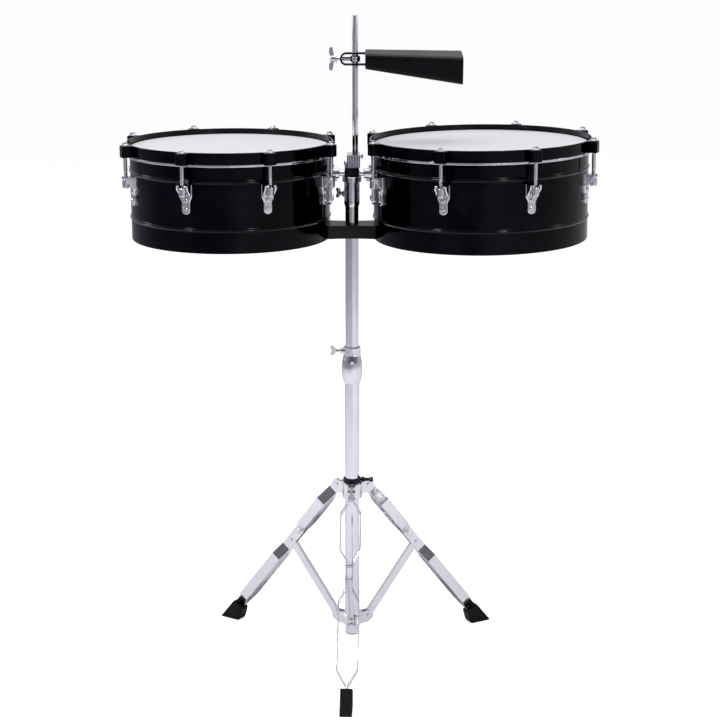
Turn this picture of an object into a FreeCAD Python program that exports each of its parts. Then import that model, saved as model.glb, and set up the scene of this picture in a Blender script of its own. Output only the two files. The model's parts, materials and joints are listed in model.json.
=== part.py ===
"""Timbales: two single-headed metal drums and a cowbell on a folding tripod stand.

Millimetres, +Z up. The origin is on the floor under the axis of the stand's tube.
-Y is the front, +X is the right-hand drum's side.
"""
import FreeCAD, Part
import math
import os

Vec = FreeCAD.Vector
X_AXIS = Vec(1, 0, 0)
Y_AXIS = Vec(0, 1, 0)
Z_AXIS = Vec(0, 0, 1)

tiny = 1e-6                 # two lengths closer than this are the same
through = 100.0             # length of a cutting tool that passes right through a piece

# ---------------------------------------------------------------- driving dimensions
# Fits and clearances
tube_slide_gap = 0.08       # radial, upper tube in the lower tube and post in the sleeve
hub_slide_gap = 0.3         # radial, leg hub on the lower tube
pivot_gap = 0.08            # radial, riveted hinge
open_pivot_gap = 0.25       # radial, strut on the rear legs' knee rivets
side_gap = 0.3              # between flat faces that turn past each other
bolt_gap = 0.05             # radial, thumb screws, rods and nuts in their holes
loose_gap = 0.3             # radial, a moving rod through a piece that only clears it

# Drums
left_shell_radius = 165.1
right_shell_radius = 177.8
left_shell_to_post = 36.7   # from the post's axis to the shell
right_shell_to_post = 35.7
left_hoop_top = 902.2       # height above the floor
right_hoop_rise = 2.9       # right hoop's top above the left one's
left_drum_depth = 161.0     # from the hoop's top to the shell's open edge
right_drum_depth = 166.3
left_drum_turn = 2.0        # degrees about the drum's own axis
right_drum_turn = 0.0
left_drum_tilt = 0.0        # degrees, outer side up
right_drum_tilt = 0.8
left_lug_drop = 50.5        # from the hoop's top to the lug's top
right_lug_drop = 54.5
shell_wall = 1.2
bead_height = 2.0           # how far a rolled bead stands out
bead_half_width = 3.6
upper_bead_drop = 47.0      # below the hoop's top
lower_bead_rise = 37.5      # above the shell's open edge
hem_radius = 1.6
head_drop = 9.0             # the playing surface below the hoop's top
film_thickness = 0.4
skirt_gap = 0.2             # between the shell and the film's turned-down skirt
skirt_tuck = 1.0            # skirt's overlap with the flesh hoop
rod_count = 8
hoop_height = 19.0
hoop_wall = 2.6
hoop_overhang = 5.5         # hoop's outside beyond the shell
flesh_height = 4.2          # chrome band that shows under the hoop
flesh_seat = 3.4            # the band's inner lip, up inside the hoop
flesh_lip_gap = 0.1         # between that lip and the hoop
flesh_inset = 0.4           # the band's outside within the hoop's
flesh_chamfer = 1.0
hoop_edge = 0.8             # chamfers of the hoop's and the ears' upper edges
hoop_inner_edge = 0.6
ear_root = 1.5              # the ears run this far into the hoop's wall
ear_fusion = 0.3            # and end this far under its outside
ear_hole_gap = 0.4          # radial, round the tension rods
ear_reach = 22.0            # beyond the shell
ear_width = 18.0
ear_corner = 3.0
tension_rod_radius = 3.2
tension_rod_reach = 15.0    # rod's axis beyond the shell
washer_reach = 3.2          # beyond the rod
washer_thickness = 1.3
rod_collar_reach = 1.8
rod_collar_height = 1.5
rod_square = 6.2            # across the flats
rod_square_height = 2.6
rod_square_chamfer = 0.7
rod_tip_rise = 2.0          # the rod ends this far above the nut's lower end

# Lugs
lug_height = 48.0
lug_top_width = 22.0
lug_waist_width = 13.6
lug_bottom_width = 14.6
lug_shoulder_drop = 20.0
lug_waist_drop = 28.5
lug_depth = 5.0
lug_wall = 1.4
lug_claw_reach = 20.5
lug_claw_width = 20.0
lug_claw_thickness = 3.0
lug_claw_corner = 4.0
lug_cheek_wall = 1.3
lug_cheek_root = 0.2        # a cheek runs this far into the lug's face
lug_cheek_drop = 1.0        # its upper edge below the claw's top
lug_cheek_inset = 2.5       # its nose behind the claw's tip, at the claw
lug_nose_inset = 3.5        # and this far down:
lug_nose_drop = 7.0
lug_slot_gap = 0.5          # radial, round the tension rod
lug_window_radius = 4.0
lug_window_drop = 12.0
lug_screw_radius = 2.2
lug_screw_head_radius = 4.0
lug_screw_head_height = 2.2
lug_screw_drops = (25.0, 38.5)
inner_nut_radius = 4.2
inner_nut_height = 3.0
screw_tail = 1.5            # screws end this far past their nuts
lug_nut_gap = 0.15          # a flat nut stands off the round shell's middle by this
mount_nut_gap = 0.2
mount_nut_radius = 5.2
yoke_bolt_gap = 0.15
nut_wall = 2.8
nut_length = 15.5
nut_chamfer = 1.8

# Drum mounts, cross rod and yoke
cross_rod_radius = 4.75
cross_rod_drop = 55.2       # below the left hoop's top
cross_rod_entry = 3.0       # rod's end to the shell
mount_plate_width = 44.0
mount_plate_thickness = 3.5
mount_plate_bottom_drop = 50.0   # below the cross rod
mount_plate_top_drop = 3.0
mount_boss_radius = 9.0
mount_boss_reach = 16.0     # from the shell towards the post
mount_boss_chamfer = 1.0
mount_plate_corner = 8.0
mount_rib_width = 5.0
mount_rib_drop = 13.0       # below the cross rod
mount_rib_setback = 4.0     # behind the boss's end
mount_screw_drops = (21.0, 41.0)
mount_screw_radius = 2.6
mount_screw_head_radius = 5.0
mount_screw_head_height = 3.0
yoke_height = 22.0
yoke_wall = 3.0
yoke_half_depth = 25.0      # at the post
yoke_end_half_depth = 34.0  # where it meets the shells
yoke_end_margin = 13.3      # that depth is measured this far past the shells
yoke_bolt_radius = 3.0
yoke_bolt_offset = 15.0
yoke_bolt_head_radius = 5.5
yoke_bolt_head_height = 3.6

# Post clamp
sleeve_length = 41.0
sleeve_wall = 1.72
sleeve_chamfer = 1.2        # at the lower end, over this height:
sleeve_taper = 4.8
flange_chamfer = 0.8
post_boss_radius = 6.5
post_boss_rise = 3.0        # beyond the sleeve
flange_reach = 3.0          # beyond the sleeve
flange_height = 9.0
rod_to_flange = 0.25        # under the cross rod
casting_height = 15.0
casting_half_width = 12.0
casting_front = 12.0
casting_corner = 4.0
block_height = 21.0
block_left = -8.0
block_right = 13.5
block_front = 10.0
block_rear_margin = 10.5    # behind the cowbell rod's axis
block_flutes = 3
block_flute_radius = 2.0
block_flute_out = 0.6       # flutes' centres outside the block's faces
block_corner = 2.0
block_screw_radius = 2.5
block_screw_head_radius = 4.2
block_screw_head_height = 3.5
block_screw_neck = 1.5      # shank between the block and the head
left_block_screw_drop = 14.0    # below the block's top
left_block_screw_depth = 6.0
right_block_screw_drop = 5.5
post_bolt_rise = 19.0       # above the sleeve's lower end
post_bolt_direction = 134.5  # degrees in plan from +X

# Cowbell and its rod
bell_rod_radius = 4.75
rod_end_chamfer = 0.8
bell_rod_x = 5.5
bell_rod_behind = 0.85      # behind the flange
bell_rod_below = 52.0       # below the flange's top
bell_rod_above = 227.0      # above the fluted block
bell_start_x = 22.0
bell_length = 160.0
bell_end_depth = 54.0       # across the closed end, along Y
bell_end_rise = 12.2       # above the strap's middle
bell_end_fall = 13.6       # below it
bell_end_corner = 7.0
bell_mouth_depth = 72.0
bell_mouth_rise = 8.3
bell_mouth_fall = 37.3
bell_mouth_corner = 9.0
bell_wall = 1.6
bell_roll = 6.0             # degrees, front edge down
strap_above_block = 155.25  # strap's middle above the fluted block
strap_height = 20.8
strap_wall = 2.6
strap_width = 20.0
strap_reach = 25.0          # from the rod's axis to the strap's closed end
strap_root = 1.0            # the ends are drawn this far past the bell's end, then cut to it
eye_wall = 3.57
eye_height = 11.0
eye_round = 3.5
eye_stem_radius = 3.0
eye_stem_end = 41.0         # from the rod's axis
wing_nut_start = 31.0       # from the rod's axis
wing_nut_length = 8.0
wing_nut_radius = 5.6
wing_span = 40.0
wing_width = 8.5
wing_thickness = 2.6
wing_corner = 1.6
wing_flange_reach = 1.6
wing_flange_height = 1.4

# Post
upper_tube_radius = 11.1
upper_tube_wall = 1.5
upper_tube_bottom = 250.0
lower_tube_wall = 1.52
lower_tube_below = 26.0     # below the lower pivots
lower_tube_top = 505.0
plug_height = 10.0
plug_flange = 2.0
plug_round = 1.2
collar_below = 18.0         # heights below and above the lower tube's end
collar_above = 46.0
collar_step_above = 30.0
collar_waist_above = 5.0    # the widest part
collar_foot_wall = 1.2      # walls over the lower tube
collar_waist_wall = 5.0
collar_step_wall = 2.1
collar_ring_wall = 1.9
collar_screws_above = (35.5, 19.5)
collar_screw_heights = (1.9, 3.0)   # head heights, upper and lower screw
collar_screw_head_radius = 3.4
collar_screw_seat = 0.6     # wall left between the screws and the lower tube
collar_socket_radius = 1.8
collar_socket_depth = 1.3
collar_chamfer = 1.0
collar_boss_radius = 7.0    # round the wing bolt
bolt_boss_rise = 1.5
height_bolt_above = 38.5

# Screw heads
head_rounding = 0.7         # share of a button head's height that is rounded

# Thumb screws, shared by the height collar, the post clamp and the hub ring
thumb_stem_radius = 3.0
thumb_neck_length = 8.0
thumb_boss_radius = 5.0
thumb_boss_length = 3.5
thumb_wing_span = 17.0
thumb_wing_length = 9.0
thumb_wing_thickness = 3.4
thumb_wing_corner = 2.2
thumb_seat_gap = 0.4        # between the boss and what it is screwed into

# Tripod
foot_circle = 268.0         # radius where the legs' centre lines meet the floor
leg_turn = -2.0             # degrees, the whole tripod about the tube
pivot_reach = 17.3          # pivots beyond the lower tube
hub_pivot_height = 300.0
knee_height = 178.0
strip_thickness = 1.8
strip_width = 18.0
strip_bend = 4.0            # bend radius at the middle of the strip
leg_hub_end = 15.0          # along the leg from the hub pivot
leg_upper_start = 40.0
knee_lead = 31.7            # the closed section starts this far before the knee
knee_trail = 16.3
leg_slope = 19.0            # along the leg, from open to closed above the knee
leg_lower_slope = 24.0
boot_slope = 27.0
boot_section = 42.9         # from the floor, where the strips close for the boot
leg_end_gap = 10.9          # from the floor to the strips' ends
leg_spread = 36.0           # outside width of the open sections
leg_hub_half_gap = 0.35
spacer_rivet_lead = 24.2    # before the knee
rivet_radius = 3.0
rivet_head_radius = 4.6
rivet_head_height = 1.4
spacer_radius = 4.4
hub_pin_radius = 2.5
strut_width = 8.4
strut_depth = 12.5
strut_wall = 1.5
strut_end_clear = 2.0       # the channel's back is cut away past each pivot's round end
bracket_ring_wall = 3.8
bracket_below = 12.0        # below and above the lower pivots
bracket_above = 9.0
bracket_arm_radius = 9.0
bracket_ear_wall = 2.0
hub_body_wall = 4.3         # over the lower tube
hub_below = 20.0            # below and above the hub pivots
hub_above = 9.0
slot_start = 5.2            # clevis slots begin this far from the lower tube
hub_arm_radius = 9.6
hub_ear_wall = 3.6
hub_chamfer = 2.0
hub_ring_wall = 2.6
hub_ring_height = 8.5
hub_ring_round = 2.0
hub_bolt_gap = 0.5          # from the clamp bolt's tip to the hub's bore
hub_ear_below = 14.0        # the ears' roots, below and above the pivots
hub_ear_above = 8.0
boot_length = 38.9          # along the leg, from the floor
boot_outer_half = 11.0
boot_inner_half = 11.5
boot_width = 20.5
boot_sole_length = 39.0
boot_round = 3.0
boot_toe_rise = 1.8         # the toe's upright lip
boot_toe_lean = 0.4
boot_heel_out = 3.0         # the heel bulges this far out, this high up
boot_heel_rise = 5.0

# ---------------------------------------------------------------- worked-out values
lower_bore = upper_tube_radius + tube_slide_gap
lower_tube_radius = lower_bore + lower_tube_wall
hub_bore = lower_tube_radius + hub_slide_gap
hub_pivot_radius = lower_tube_radius + pivot_reach
leg_angle = math.atan((foot_circle - hub_pivot_radius) / hub_pivot_height)   # from the vertical
leg_length = hub_pivot_height / math.cos(leg_angle)
knee_distance = (hub_pivot_height - knee_height) / math.cos(leg_angle)
lower_pivot_height = 2 * knee_height - hub_pivot_height
leg_azimuths = {"front": 270 + leg_turn, "left": 150 + leg_turn, "right": 30 + leg_turn}
strip_half = strip_width / 2
knee_half_gap = strut_width / 2 + side_gap / 2
spread_half_gap = leg_spread / 2 - strip_thickness
hub_slot_half = leg_hub_half_gap + strip_thickness + side_gap
bracket_slot_half = strut_width / 2 + side_gap
leg_knee_start = knee_distance - knee_lead
leg_knee_end = knee_distance + knee_trail
leg_upper_end = leg_knee_start - leg_slope
leg_lower_start = leg_knee_end + leg_lower_slope
leg_boot_start = leg_length - boot_section
leg_lower_end = leg_boot_start - boot_slope
leg_end = leg_length - leg_end_gap
spacer_rivet_place = knee_distance - spacer_rivet_lead
boot_start = leg_length - boot_length
bracket_ring_radius = lower_tube_radius + bracket_ring_wall
bracket_bottom = lower_pivot_height - bracket_below
bracket_top = lower_pivot_height + bracket_above
hub_body_radius = lower_tube_radius + hub_body_wall
hub_bottom = hub_pivot_height - hub_below
hub_top = hub_pivot_height + hub_above
hub_ring_radius = hub_bore + hub_ring_wall
lower_tube_bottom = lower_pivot_height - lower_tube_below
collar_bottom = lower_tube_top - collar_below
collar_top = lower_tube_top + collar_above
collar_step = lower_tube_top + collar_step_above
collar_waist = lower_tube_top + collar_waist_above
collar_foot_radius = lower_tube_radius + collar_foot_wall
collar_waist_radius = lower_tube_radius + collar_waist_wall
collar_step_radius = lower_tube_radius + collar_step_wall
collar_ring_radius = lower_tube_radius + collar_ring_wall
height_bolt_height = lower_tube_top + height_bolt_above

right_hoop_top = left_hoop_top + right_hoop_rise
cross_rod_height = left_hoop_top - cross_rod_drop
flange_top = cross_rod_height - cross_rod_radius - rod_to_flange
sleeve_top = flange_top - flange_height
sleeve_bottom = sleeve_top - sleeve_length
sleeve_radius = upper_tube_radius + tube_slide_gap + sleeve_wall
flange_radius = sleeve_radius + flange_reach
casting_top = flange_top + casting_height
block_top = casting_top + block_height
post_bolt_height = sleeve_bottom + post_bolt_rise
upper_tube_top = flange_top - 1.0
yoke_bottom = max(left_hoop_top - left_drum_depth, right_hoop_top - right_drum_depth)
yoke_end_x = max(left_shell_to_post, right_shell_to_post) + yoke_end_margin

bell_rod_y = flange_radius + bell_rod_radius + bell_rod_behind
bell_rod_bottom = flange_top - bell_rod_below
bell_rod_top = block_top + bell_rod_above
strap_middle = block_top + strap_above_block
bell_end_top = strap_middle + bell_end_rise
bell_end_bottom = strap_middle - bell_end_fall
bell_mouth_top = strap_middle + bell_mouth_rise
bell_mouth_bottom = strap_middle - bell_mouth_fall
eye_radius = bell_rod_radius + tube_slide_gap + eye_wall
nut_radius = tension_rod_radius + nut_wall
washer_radius = tension_rod_radius + washer_reach
rod_collar_radius = tension_rod_radius + rod_collar_reach


# ---------------------------------------------------------------- small helpers
def rod(radius, length, start, direction=Z_AXIS):
    return Part.makeCylinder(radius, length, start, direction)


def pipe(outer, inner, length, start, direction=Z_AXIS):
    return rod(outer, length, start, direction).cut(rod(inner, length, start, direction))


def block(x0, x1, y0, y1, z0, z1):
    return Part.makeBox(x1 - x0, y1 - y0, z1 - z0, Vec(x0, y0, z0))


def fuse_all(shapes):
    whole = shapes[0].multiFuse(shapes[1:]) if len(shapes) > 1 else shapes[0]
    return whole.removeSplitter()


def cut_all(shape, tools):
    return shape.cut(Part.makeCompound(tools)) if tools else shape


def face_of(edges):
    return Part.Face(Part.Wire(Part.sortEdges(edges)[0]))


def polygon_face(points):
    return Part.Face(Part.makePolygon(points + [points[0]]))


def revolve(points):
    """A solid of revolution about Z from an (r, z) outline."""
    return polygon_face([Vec(r, 0, z) for r, z in points]).revolve(Vec(0, 0, 0), Z_AXIS, 360)


def upright_edges(shape):
    """Edges that run along Z."""
    found = []
    for edge in shape.Edges:
        ends = [v.Point for v in edge.Vertexes]
        if len(ends) == 2 and (ends[0] - ends[1]).cross(Z_AXIS).Length < tiny:
            found.append(edge)
    return found


def level_edges(shape):
    """Edges that lie in a level plane, such as the rims of an upright cylinder."""
    return [e for e in shape.Edges if e.BoundBox.ZLength < tiny]


def edges_across(shape, width):
    """Edges that run along Y over this width."""
    return [e for e in shape.Edges if abs(e.BoundBox.YLength - width) < tiny]


def moved(shape, placement):
    copy = shape.copy()
    copy.Placement = placement.multiply(copy.Placement)
    return copy


def turned(shape, degrees):
    return moved(shape, FreeCAD.Placement(Vec(0, 0, 0), FreeCAD.Rotation(Z_AXIS, degrees)))


def all_round(piece, count, first=0.0):
    """Copies of one piece, evenly spaced about Z."""
    return [turned(piece, first + i * 360.0 / count) for i in range(count)]


def hexagon(radius, height, start, direction=Z_AXIS):
    points = [Vec(radius * math.cos(k * math.pi / 3), radius * math.sin(k * math.pi / 3), 0)
              for k in range(6)]
    nut = polygon_face(points).extrude(Vec(0, 0, height))
    return moved(nut, FreeCAD.Placement(start, FreeCAD.Rotation(Z_AXIS, direction)))


def button_head(radius, height, start, direction):
    """A domed screw head: its flat side is at start."""
    head = rod(radius, height, Vec(0, 0, 0))
    top_edges = [e for e in level_edges(head) if e.BoundBox.ZMin > height / 2]
    head = head.makeFillet(height * head_rounding, top_edges)
    return moved(head, FreeCAD.Placement(start, FreeCAD.Rotation(Z_AXIS, direction)))


def thumb_screw(screw_length, stand_off):
    """A wing screw along +X: the tip is at -screw_length and the boss starts at stand_off."""
    neck_end = stand_off + thumb_boss_length + thumb_neck_length
    stem = rod(thumb_stem_radius, neck_end + screw_length, Vec(-screw_length, 0, 0), X_AXIS)
    boss = rod(thumb_boss_radius, thumb_boss_length, Vec(stand_off, 0, 0), X_AXIS)
    half = thumb_wing_span / 2
    waist = thumb_stem_radius
    outline = [Vec(neck_end - waist, 0, -waist), Vec(neck_end, 0, -waist),
               Vec(neck_end + thumb_wing_length * 0.45, 0, -half),
               Vec(neck_end + thumb_wing_length, 0, -half),
               Vec(neck_end + thumb_wing_length, 0, half),
               Vec(neck_end + thumb_wing_length * 0.45, 0, half),
               Vec(neck_end, 0, waist), Vec(neck_end - waist, 0, waist)]
    wing = polygon_face(outline).extrude(Vec(0, thumb_wing_thickness, 0))
    wing.translate(Vec(0, -thumb_wing_thickness / 2, 0))
    side_edges = [e for e in edges_across(wing, thumb_wing_thickness)
                  if e.BoundBox.XMin > neck_end + tiny]
    wing = wing.makeFillet(thumb_wing_corner, side_edges)
    return fuse_all([stem, boss, wing])


# ---------------------------------------------------------------- tripod
def leg_frame(azimuth):
    """From leg coordinates (along, across, outwards) to the hub pivot at this azimuth."""
    lean = FreeCAD.Rotation(Y_AXIS, 90 - math.degrees(leg_angle))
    spin = FreeCAD.Placement(Vec(0, 0, 0), FreeCAD.Rotation(Z_AXIS, azimuth))
    return spin.multiply(FreeCAD.Placement(Vec(hub_pivot_radius, 0, hub_pivot_height), lean))


def strut_frame(azimuth):
    """From strut coordinates (along, across, outwards) to the lower pivot at this azimuth."""
    rise = FreeCAD.Rotation(Y_AXIS, math.degrees(leg_angle) - 90)
    spin = FreeCAD.Placement(Vec(0, 0, 0), FreeCAD.Rotation(Z_AXIS, azimuth))
    return spin.multiply(FreeCAD.Placement(Vec(hub_pivot_radius, 0, lower_pivot_height), rise))


def bent_strip_face(points, thickness, bend):
    """A strip of even thickness along a line of points, with a round bend at each."""
    sides = {1: [], -1: []}
    last = {1: None, -1: None}
    count = len(points)
    for i in range(count):
        here = points[i]
        if i in (0, count - 1):
            along = (points[1] - here) if i == 0 else (here - points[-2])
            along.normalize()
            across = Vec(-along.y, along.x, 0)
            for side in (1, -1):
                end = here + across * (side * thickness / 2)
                if last[side] is not None:
                    sides[side].append(Part.makeLine(last[side], end))
                last[side] = end
            continue
        before = (here - points[i - 1]).normalize()
        after = (points[i + 1] - here).normalize()
        turn = math.atan2(before.x * after.y - before.y * after.x, before.dot(after))
        sign = 1 if turn > 0 else -1
        reach = bend * math.tan(abs(turn) / 2)
        centre = here - before * reach + Vec(-before.y, before.x, 0) * (sign * bend)
        middle_way = (here - centre).normalize()
        for side in (1, -1):
            radius = bend - sign * side * thickness / 2
            start = centre + Vec(before.y, -before.x, 0) * (sign * radius)
            middle = centre + middle_way * radius
            finish = centre + Vec(after.y, -after.x, 0) * (sign * radius)
            sides[side].append(Part.makeLine(last[side], start))
            sides[side].append(Part.Arc(start, middle, finish).toShape())
            last[side] = finish
    first = points[0]
    along = (points[1] - first).normalize()
    across = Vec(-along.y, along.x, 0)
    caps = [Part.makeLine(first + across * (thickness / 2), first - across * (thickness / 2)),
            Part.makeLine(last[1], last[-1])]
    return face_of(sides[1] + sides[-1] + caps)


def leg_strip():
    """One flat strip of a leg, bowed outwards between its riveted sections."""
    narrow = leg_hub_half_gap + strip_thickness / 2
    knee = knee_half_gap + strip_thickness / 2
    spread = spread_half_gap + strip_thickness / 2
    path = [(-strip_half, narrow), (leg_hub_end, narrow), (leg_upper_start, spread),
            (leg_upper_end, spread), (leg_knee_start, knee), (leg_knee_end, knee),
            (leg_lower_start, spread), (leg_lower_end, spread), (leg_boot_start, narrow),
            (leg_end, narrow)]
    flat = bent_strip_face([Vec(s, w, 0) for s, w in path], strip_thickness, strip_bend)
    strip = flat.extrude(Vec(0, 0, strip_width))
    strip.translate(Vec(0, 0, -strip_half))
    side_view = fuse_all([
        block(0, leg_end, 0, leg_spread, -strip_half, strip_half),
        rod(strip_half, leg_spread, Vec(0, 0, 0), Y_AXIS)])
    strip = strip.common(side_view)
    holes = [rod(hub_pin_radius + pivot_gap, leg_spread, Vec(0, 0, 0), Y_AXIS)]
    for place in (spacer_rivet_place, knee_distance):
        holes.append(rod(rivet_radius, leg_spread, Vec(place, 0, 0), Y_AXIS))
    return cut_all(strip, holes)


def leg_strips():
    strip = leg_strip()
    return [strip, strip.mirror(Vec(0, 0, 0), Y_AXIS)]


def rivet(place, radius, outside_half, head_radius, head_height):
    """A rivet across a leg or strut, with a domed head on each side."""
    start = Vec(place, -outside_half, 0)
    shank = rod(radius, 2 * outside_half, start, Y_AXIS)
    heads = [button_head(head_radius, head_height, Vec(place, outside_half, 0), Y_AXIS),
             button_head(head_radius, head_height, start, Vec(0, -1, 0))]
    return fuse_all([shank] + heads)


def leg_rivets():
    outside = knee_half_gap + strip_thickness
    spacer = rod(spacer_radius, 2 * knee_half_gap, Vec(spacer_rivet_place, -knee_half_gap, 0), Y_AXIS)
    spaced = rivet(spacer_rivet_place, rivet_radius, outside, rivet_head_radius, rivet_head_height)
    knee = rivet(knee_distance, rivet_radius, outside, rivet_head_radius, rivet_head_height)
    return [fuse_all([spaced, spacer]), knee]


def rubber_boot(azimuth):
    """A wedge-shaped boot on the leg's end, flat on the floor. Built in the plane of the leg."""
    frame = leg_frame(0)

    def at(along, outwards):
        point = frame.multVec(Vec(along, 0, outwards))
        return (point.x, point.z)

    top_out = at(boot_start, boot_outer_half)
    top_in = at(boot_start, -boot_inner_half)
    reach = (hub_pivot_height + boot_outer_half * math.sin(leg_angle)) / math.cos(leg_angle)
    toe = at(reach, boot_outer_half)[0]
    heel = toe - boot_sole_length
    outline = [(heel, 0), (toe, 0), (toe - boot_toe_lean, boot_toe_rise), top_out, top_in,
               (heel - boot_heel_out, boot_heel_rise)]
    side = polygon_face([Vec(x, -boot_width / 2, z) for x, z in outline])
    boot = side.extrude(Vec(0, boot_width, 0))
    long_edges = [e for e in edges_across(boot, boot_width) if e.BoundBox.ZMin > boot_toe_rise + tiny]
    boot = boot.makeFillet(boot_round, long_edges)
    strips = [moved(s, frame) for s in leg_strips()]
    return turned(cut_all(boot, strips), azimuth)


def channel_strut(knee_gap):
    """A folded channel, open towards the tube, rounded at both ends."""
    half = strut_depth / 2
    wide = strut_width / 2
    outside = fuse_all([
        block(0, knee_distance, -wide, wide, -half, half),
        rod(half, strut_width, Vec(0, -wide, 0), Y_AXIS),
        rod(half, strut_width, Vec(knee_distance, -wide, 0), Y_AXIS)])
    inside = block(-2 * half, knee_distance + 2 * half, -wide + strut_wall, wide - strut_wall,
                   -half - 1, half - strut_wall)
    end_clear = half + strut_end_clear
    lower_notch = block(-2 * half, end_clear, -wide + strut_wall, wide - strut_wall, -half, half + 1)
    upper_notch = block(knee_distance - end_clear, knee_distance + 2 * half,
                        -wide + strut_wall, wide - strut_wall, -half, half + 1)
    holes = [rod(hub_pin_radius + pivot_gap, strut_width, Vec(0, -wide, 0), Y_AXIS),
             rod(rivet_radius + knee_gap, strut_width, Vec(knee_distance, -wide, 0), Y_AXIS)]
    return cut_all(outside, [inside, lower_notch, upper_notch] + holes)


def arm_pair(reach, centre_height, end_radius, low, high, slot_half, ear_wall):
    """Two ears of a clevis that point along +X, and the slot between them."""
    outer = slot_half + ear_wall
    root = block(0, reach, -outer, outer, low, high)
    nose = rod(end_radius, 2 * outer, Vec(reach, -outer, centre_height), Y_AXIS)
    slot = block(lower_tube_radius + slot_start, reach + 2 * end_radius, -slot_half, slot_half,
                 low - 2 * end_radius, high + 2 * end_radius)
    return fuse_all([root, nose]), slot


def pivoted_ring(body_radius, bottom, top, arm, bore, pin_height, outer_half):
    """A ring with three clevises, at the azimuths of the legs."""
    ears, slot = arm
    azimuths = list(leg_azimuths.values())
    ring = rod(body_radius, top - bottom, Vec(0, 0, bottom))
    ring = ring.makeChamfer(hub_chamfer, level_edges(ring))
    body = fuse_all([ring] + [turned(ears, a) for a in azimuths])
    pin_hole = rod(hub_pin_radius, 2 * outer_half, Vec(hub_pivot_radius, -outer_half, pin_height), Y_AXIS)
    tools = [turned(slot, a) for a in azimuths] + [turned(pin_hole, a) for a in azimuths]
    tools.append(rod(bore, 2 * through, Vec(0, 0, bottom - through)))
    return cut_all(body, tools)


def lower_bracket():
    arm = arm_pair(hub_pivot_radius, lower_pivot_height, bracket_arm_radius,
                   bracket_bottom, bracket_top, bracket_slot_half, bracket_ear_wall)
    outer = bracket_slot_half + bracket_ear_wall
    return pivoted_ring(bracket_ring_radius, bracket_bottom, bracket_top, arm,
                        lower_tube_radius, lower_pivot_height, outer)


def leg_hub():
    arm = arm_pair(hub_pivot_radius, hub_pivot_height, hub_arm_radius,
                   hub_pivot_height - hub_ear_below, hub_pivot_height + hub_ear_above,
                   hub_slot_half, hub_ear_wall)
    outer = hub_slot_half + hub_ear_wall
    return pivoted_ring(hub_body_radius, hub_bottom, hub_top, arm, hub_bore, hub_pivot_height, outer)


def pivot_pins(height, outside_half):
    pin = rivet(hub_pivot_radius, hub_pin_radius, outside_half, rivet_head_radius, rivet_head_height)
    pin.translate(Vec(0, 0, height))
    return [turned(pin, a) for a in leg_azimuths.values()]


def hub_ring():
    ring = pipe(hub_ring_radius, hub_bore, hub_ring_height, Vec(0, 0, hub_top))
    rims = [e for e in level_edges(ring) if e.BoundBox.XMax > hub_bore + tiny]
    ring = ring.makeFillet(hub_ring_round, rims)
    hole_height = hub_top + hub_ring_height / 2
    return ring.cut(rod(thumb_stem_radius + bolt_gap, through, Vec(0, 0, hole_height), X_AXIS))


def hub_clamp_bolt():
    screw = thumb_screw(hub_ring_radius - hub_bore - hub_bolt_gap, thumb_seat_gap)
    screw.rotate(Vec(0, 0, 0), X_AXIS, 90)
    screw.translate(Vec(hub_ring_radius, 0, hub_top + hub_ring_height / 2))
    return screw


# ---------------------------------------------------------------- post
def lower_tube():
    length = lower_tube_top - lower_tube_bottom
    return pipe(lower_tube_radius, lower_bore, length, Vec(0, 0, lower_tube_bottom))


def tube_plug():
    stem = rod(lower_bore, plug_height, Vec(0, 0, lower_tube_bottom))
    flange = rod(lower_tube_radius, plug_flange, Vec(0, 0, lower_tube_bottom - plug_flange))
    rim = [e for e in level_edges(flange) if e.BoundBox.ZMax < lower_tube_bottom - tiny]
    return fuse_all([stem, flange.makeFillet(plug_round, rim)])


def height_collar():
    """A barrel-shaped casting on the lower tube, with a slim ring above it."""
    bore = lower_tube_radius
    edge = collar_chamfer
    barrel = [Part.makeLine(Vec(bore, 0, collar_top), Vec(bore, 0, collar_bottom)),
              Part.makeLine(Vec(bore, 0, collar_bottom), Vec(collar_foot_radius, 0, collar_bottom)),
              Part.Arc(Vec(collar_foot_radius, 0, collar_bottom),
                       Vec(collar_waist_radius, 0, collar_waist),
                       Vec(collar_step_radius, 0, collar_step)).toShape(),
              Part.makeLine(Vec(collar_step_radius, 0, collar_step),
                            Vec(collar_ring_radius, 0, collar_step + edge)),
              Part.makeLine(Vec(collar_ring_radius, 0, collar_step + edge),
                            Vec(collar_ring_radius, 0, collar_top - edge)),
              Part.makeLine(Vec(collar_ring_radius, 0, collar_top - edge),
                            Vec(collar_ring_radius - edge, 0, collar_top)),
              Part.makeLine(Vec(collar_ring_radius - edge, 0, collar_top), Vec(bore, 0, collar_top))]
    collar = face_of(barrel).revolve(Vec(0, 0, 0), Z_AXIS, 360)
    boss = rod(collar_boss_radius, collar_ring_radius + bolt_boss_rise,
               Vec(0, 0, height_bolt_height), -X_AXIS)
    boss = boss.cut(rod(bore, through, Vec(0, 0, collar_bottom)))
    collar = fuse_all([collar, boss])
    holes = [rod(thumb_stem_radius + bolt_gap, through, Vec(0, 0, height_bolt_height), -X_AXIS)]
    for above in collar_screws_above:
        start = Vec(0, -lower_tube_radius - collar_screw_seat, lower_tube_top + above)
        holes.append(rod(collar_screw_head_radius, through, start, -Y_AXIS))
    return cut_all(collar, holes)


def collar_bush():
    bush = pipe(lower_tube_radius, lower_bore, collar_top - lower_tube_top, Vec(0, 0, lower_tube_top))
    return bush.cut(rod(thumb_stem_radius + bolt_gap, through, Vec(0, 0, height_bolt_height), -X_AXIS))


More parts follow.
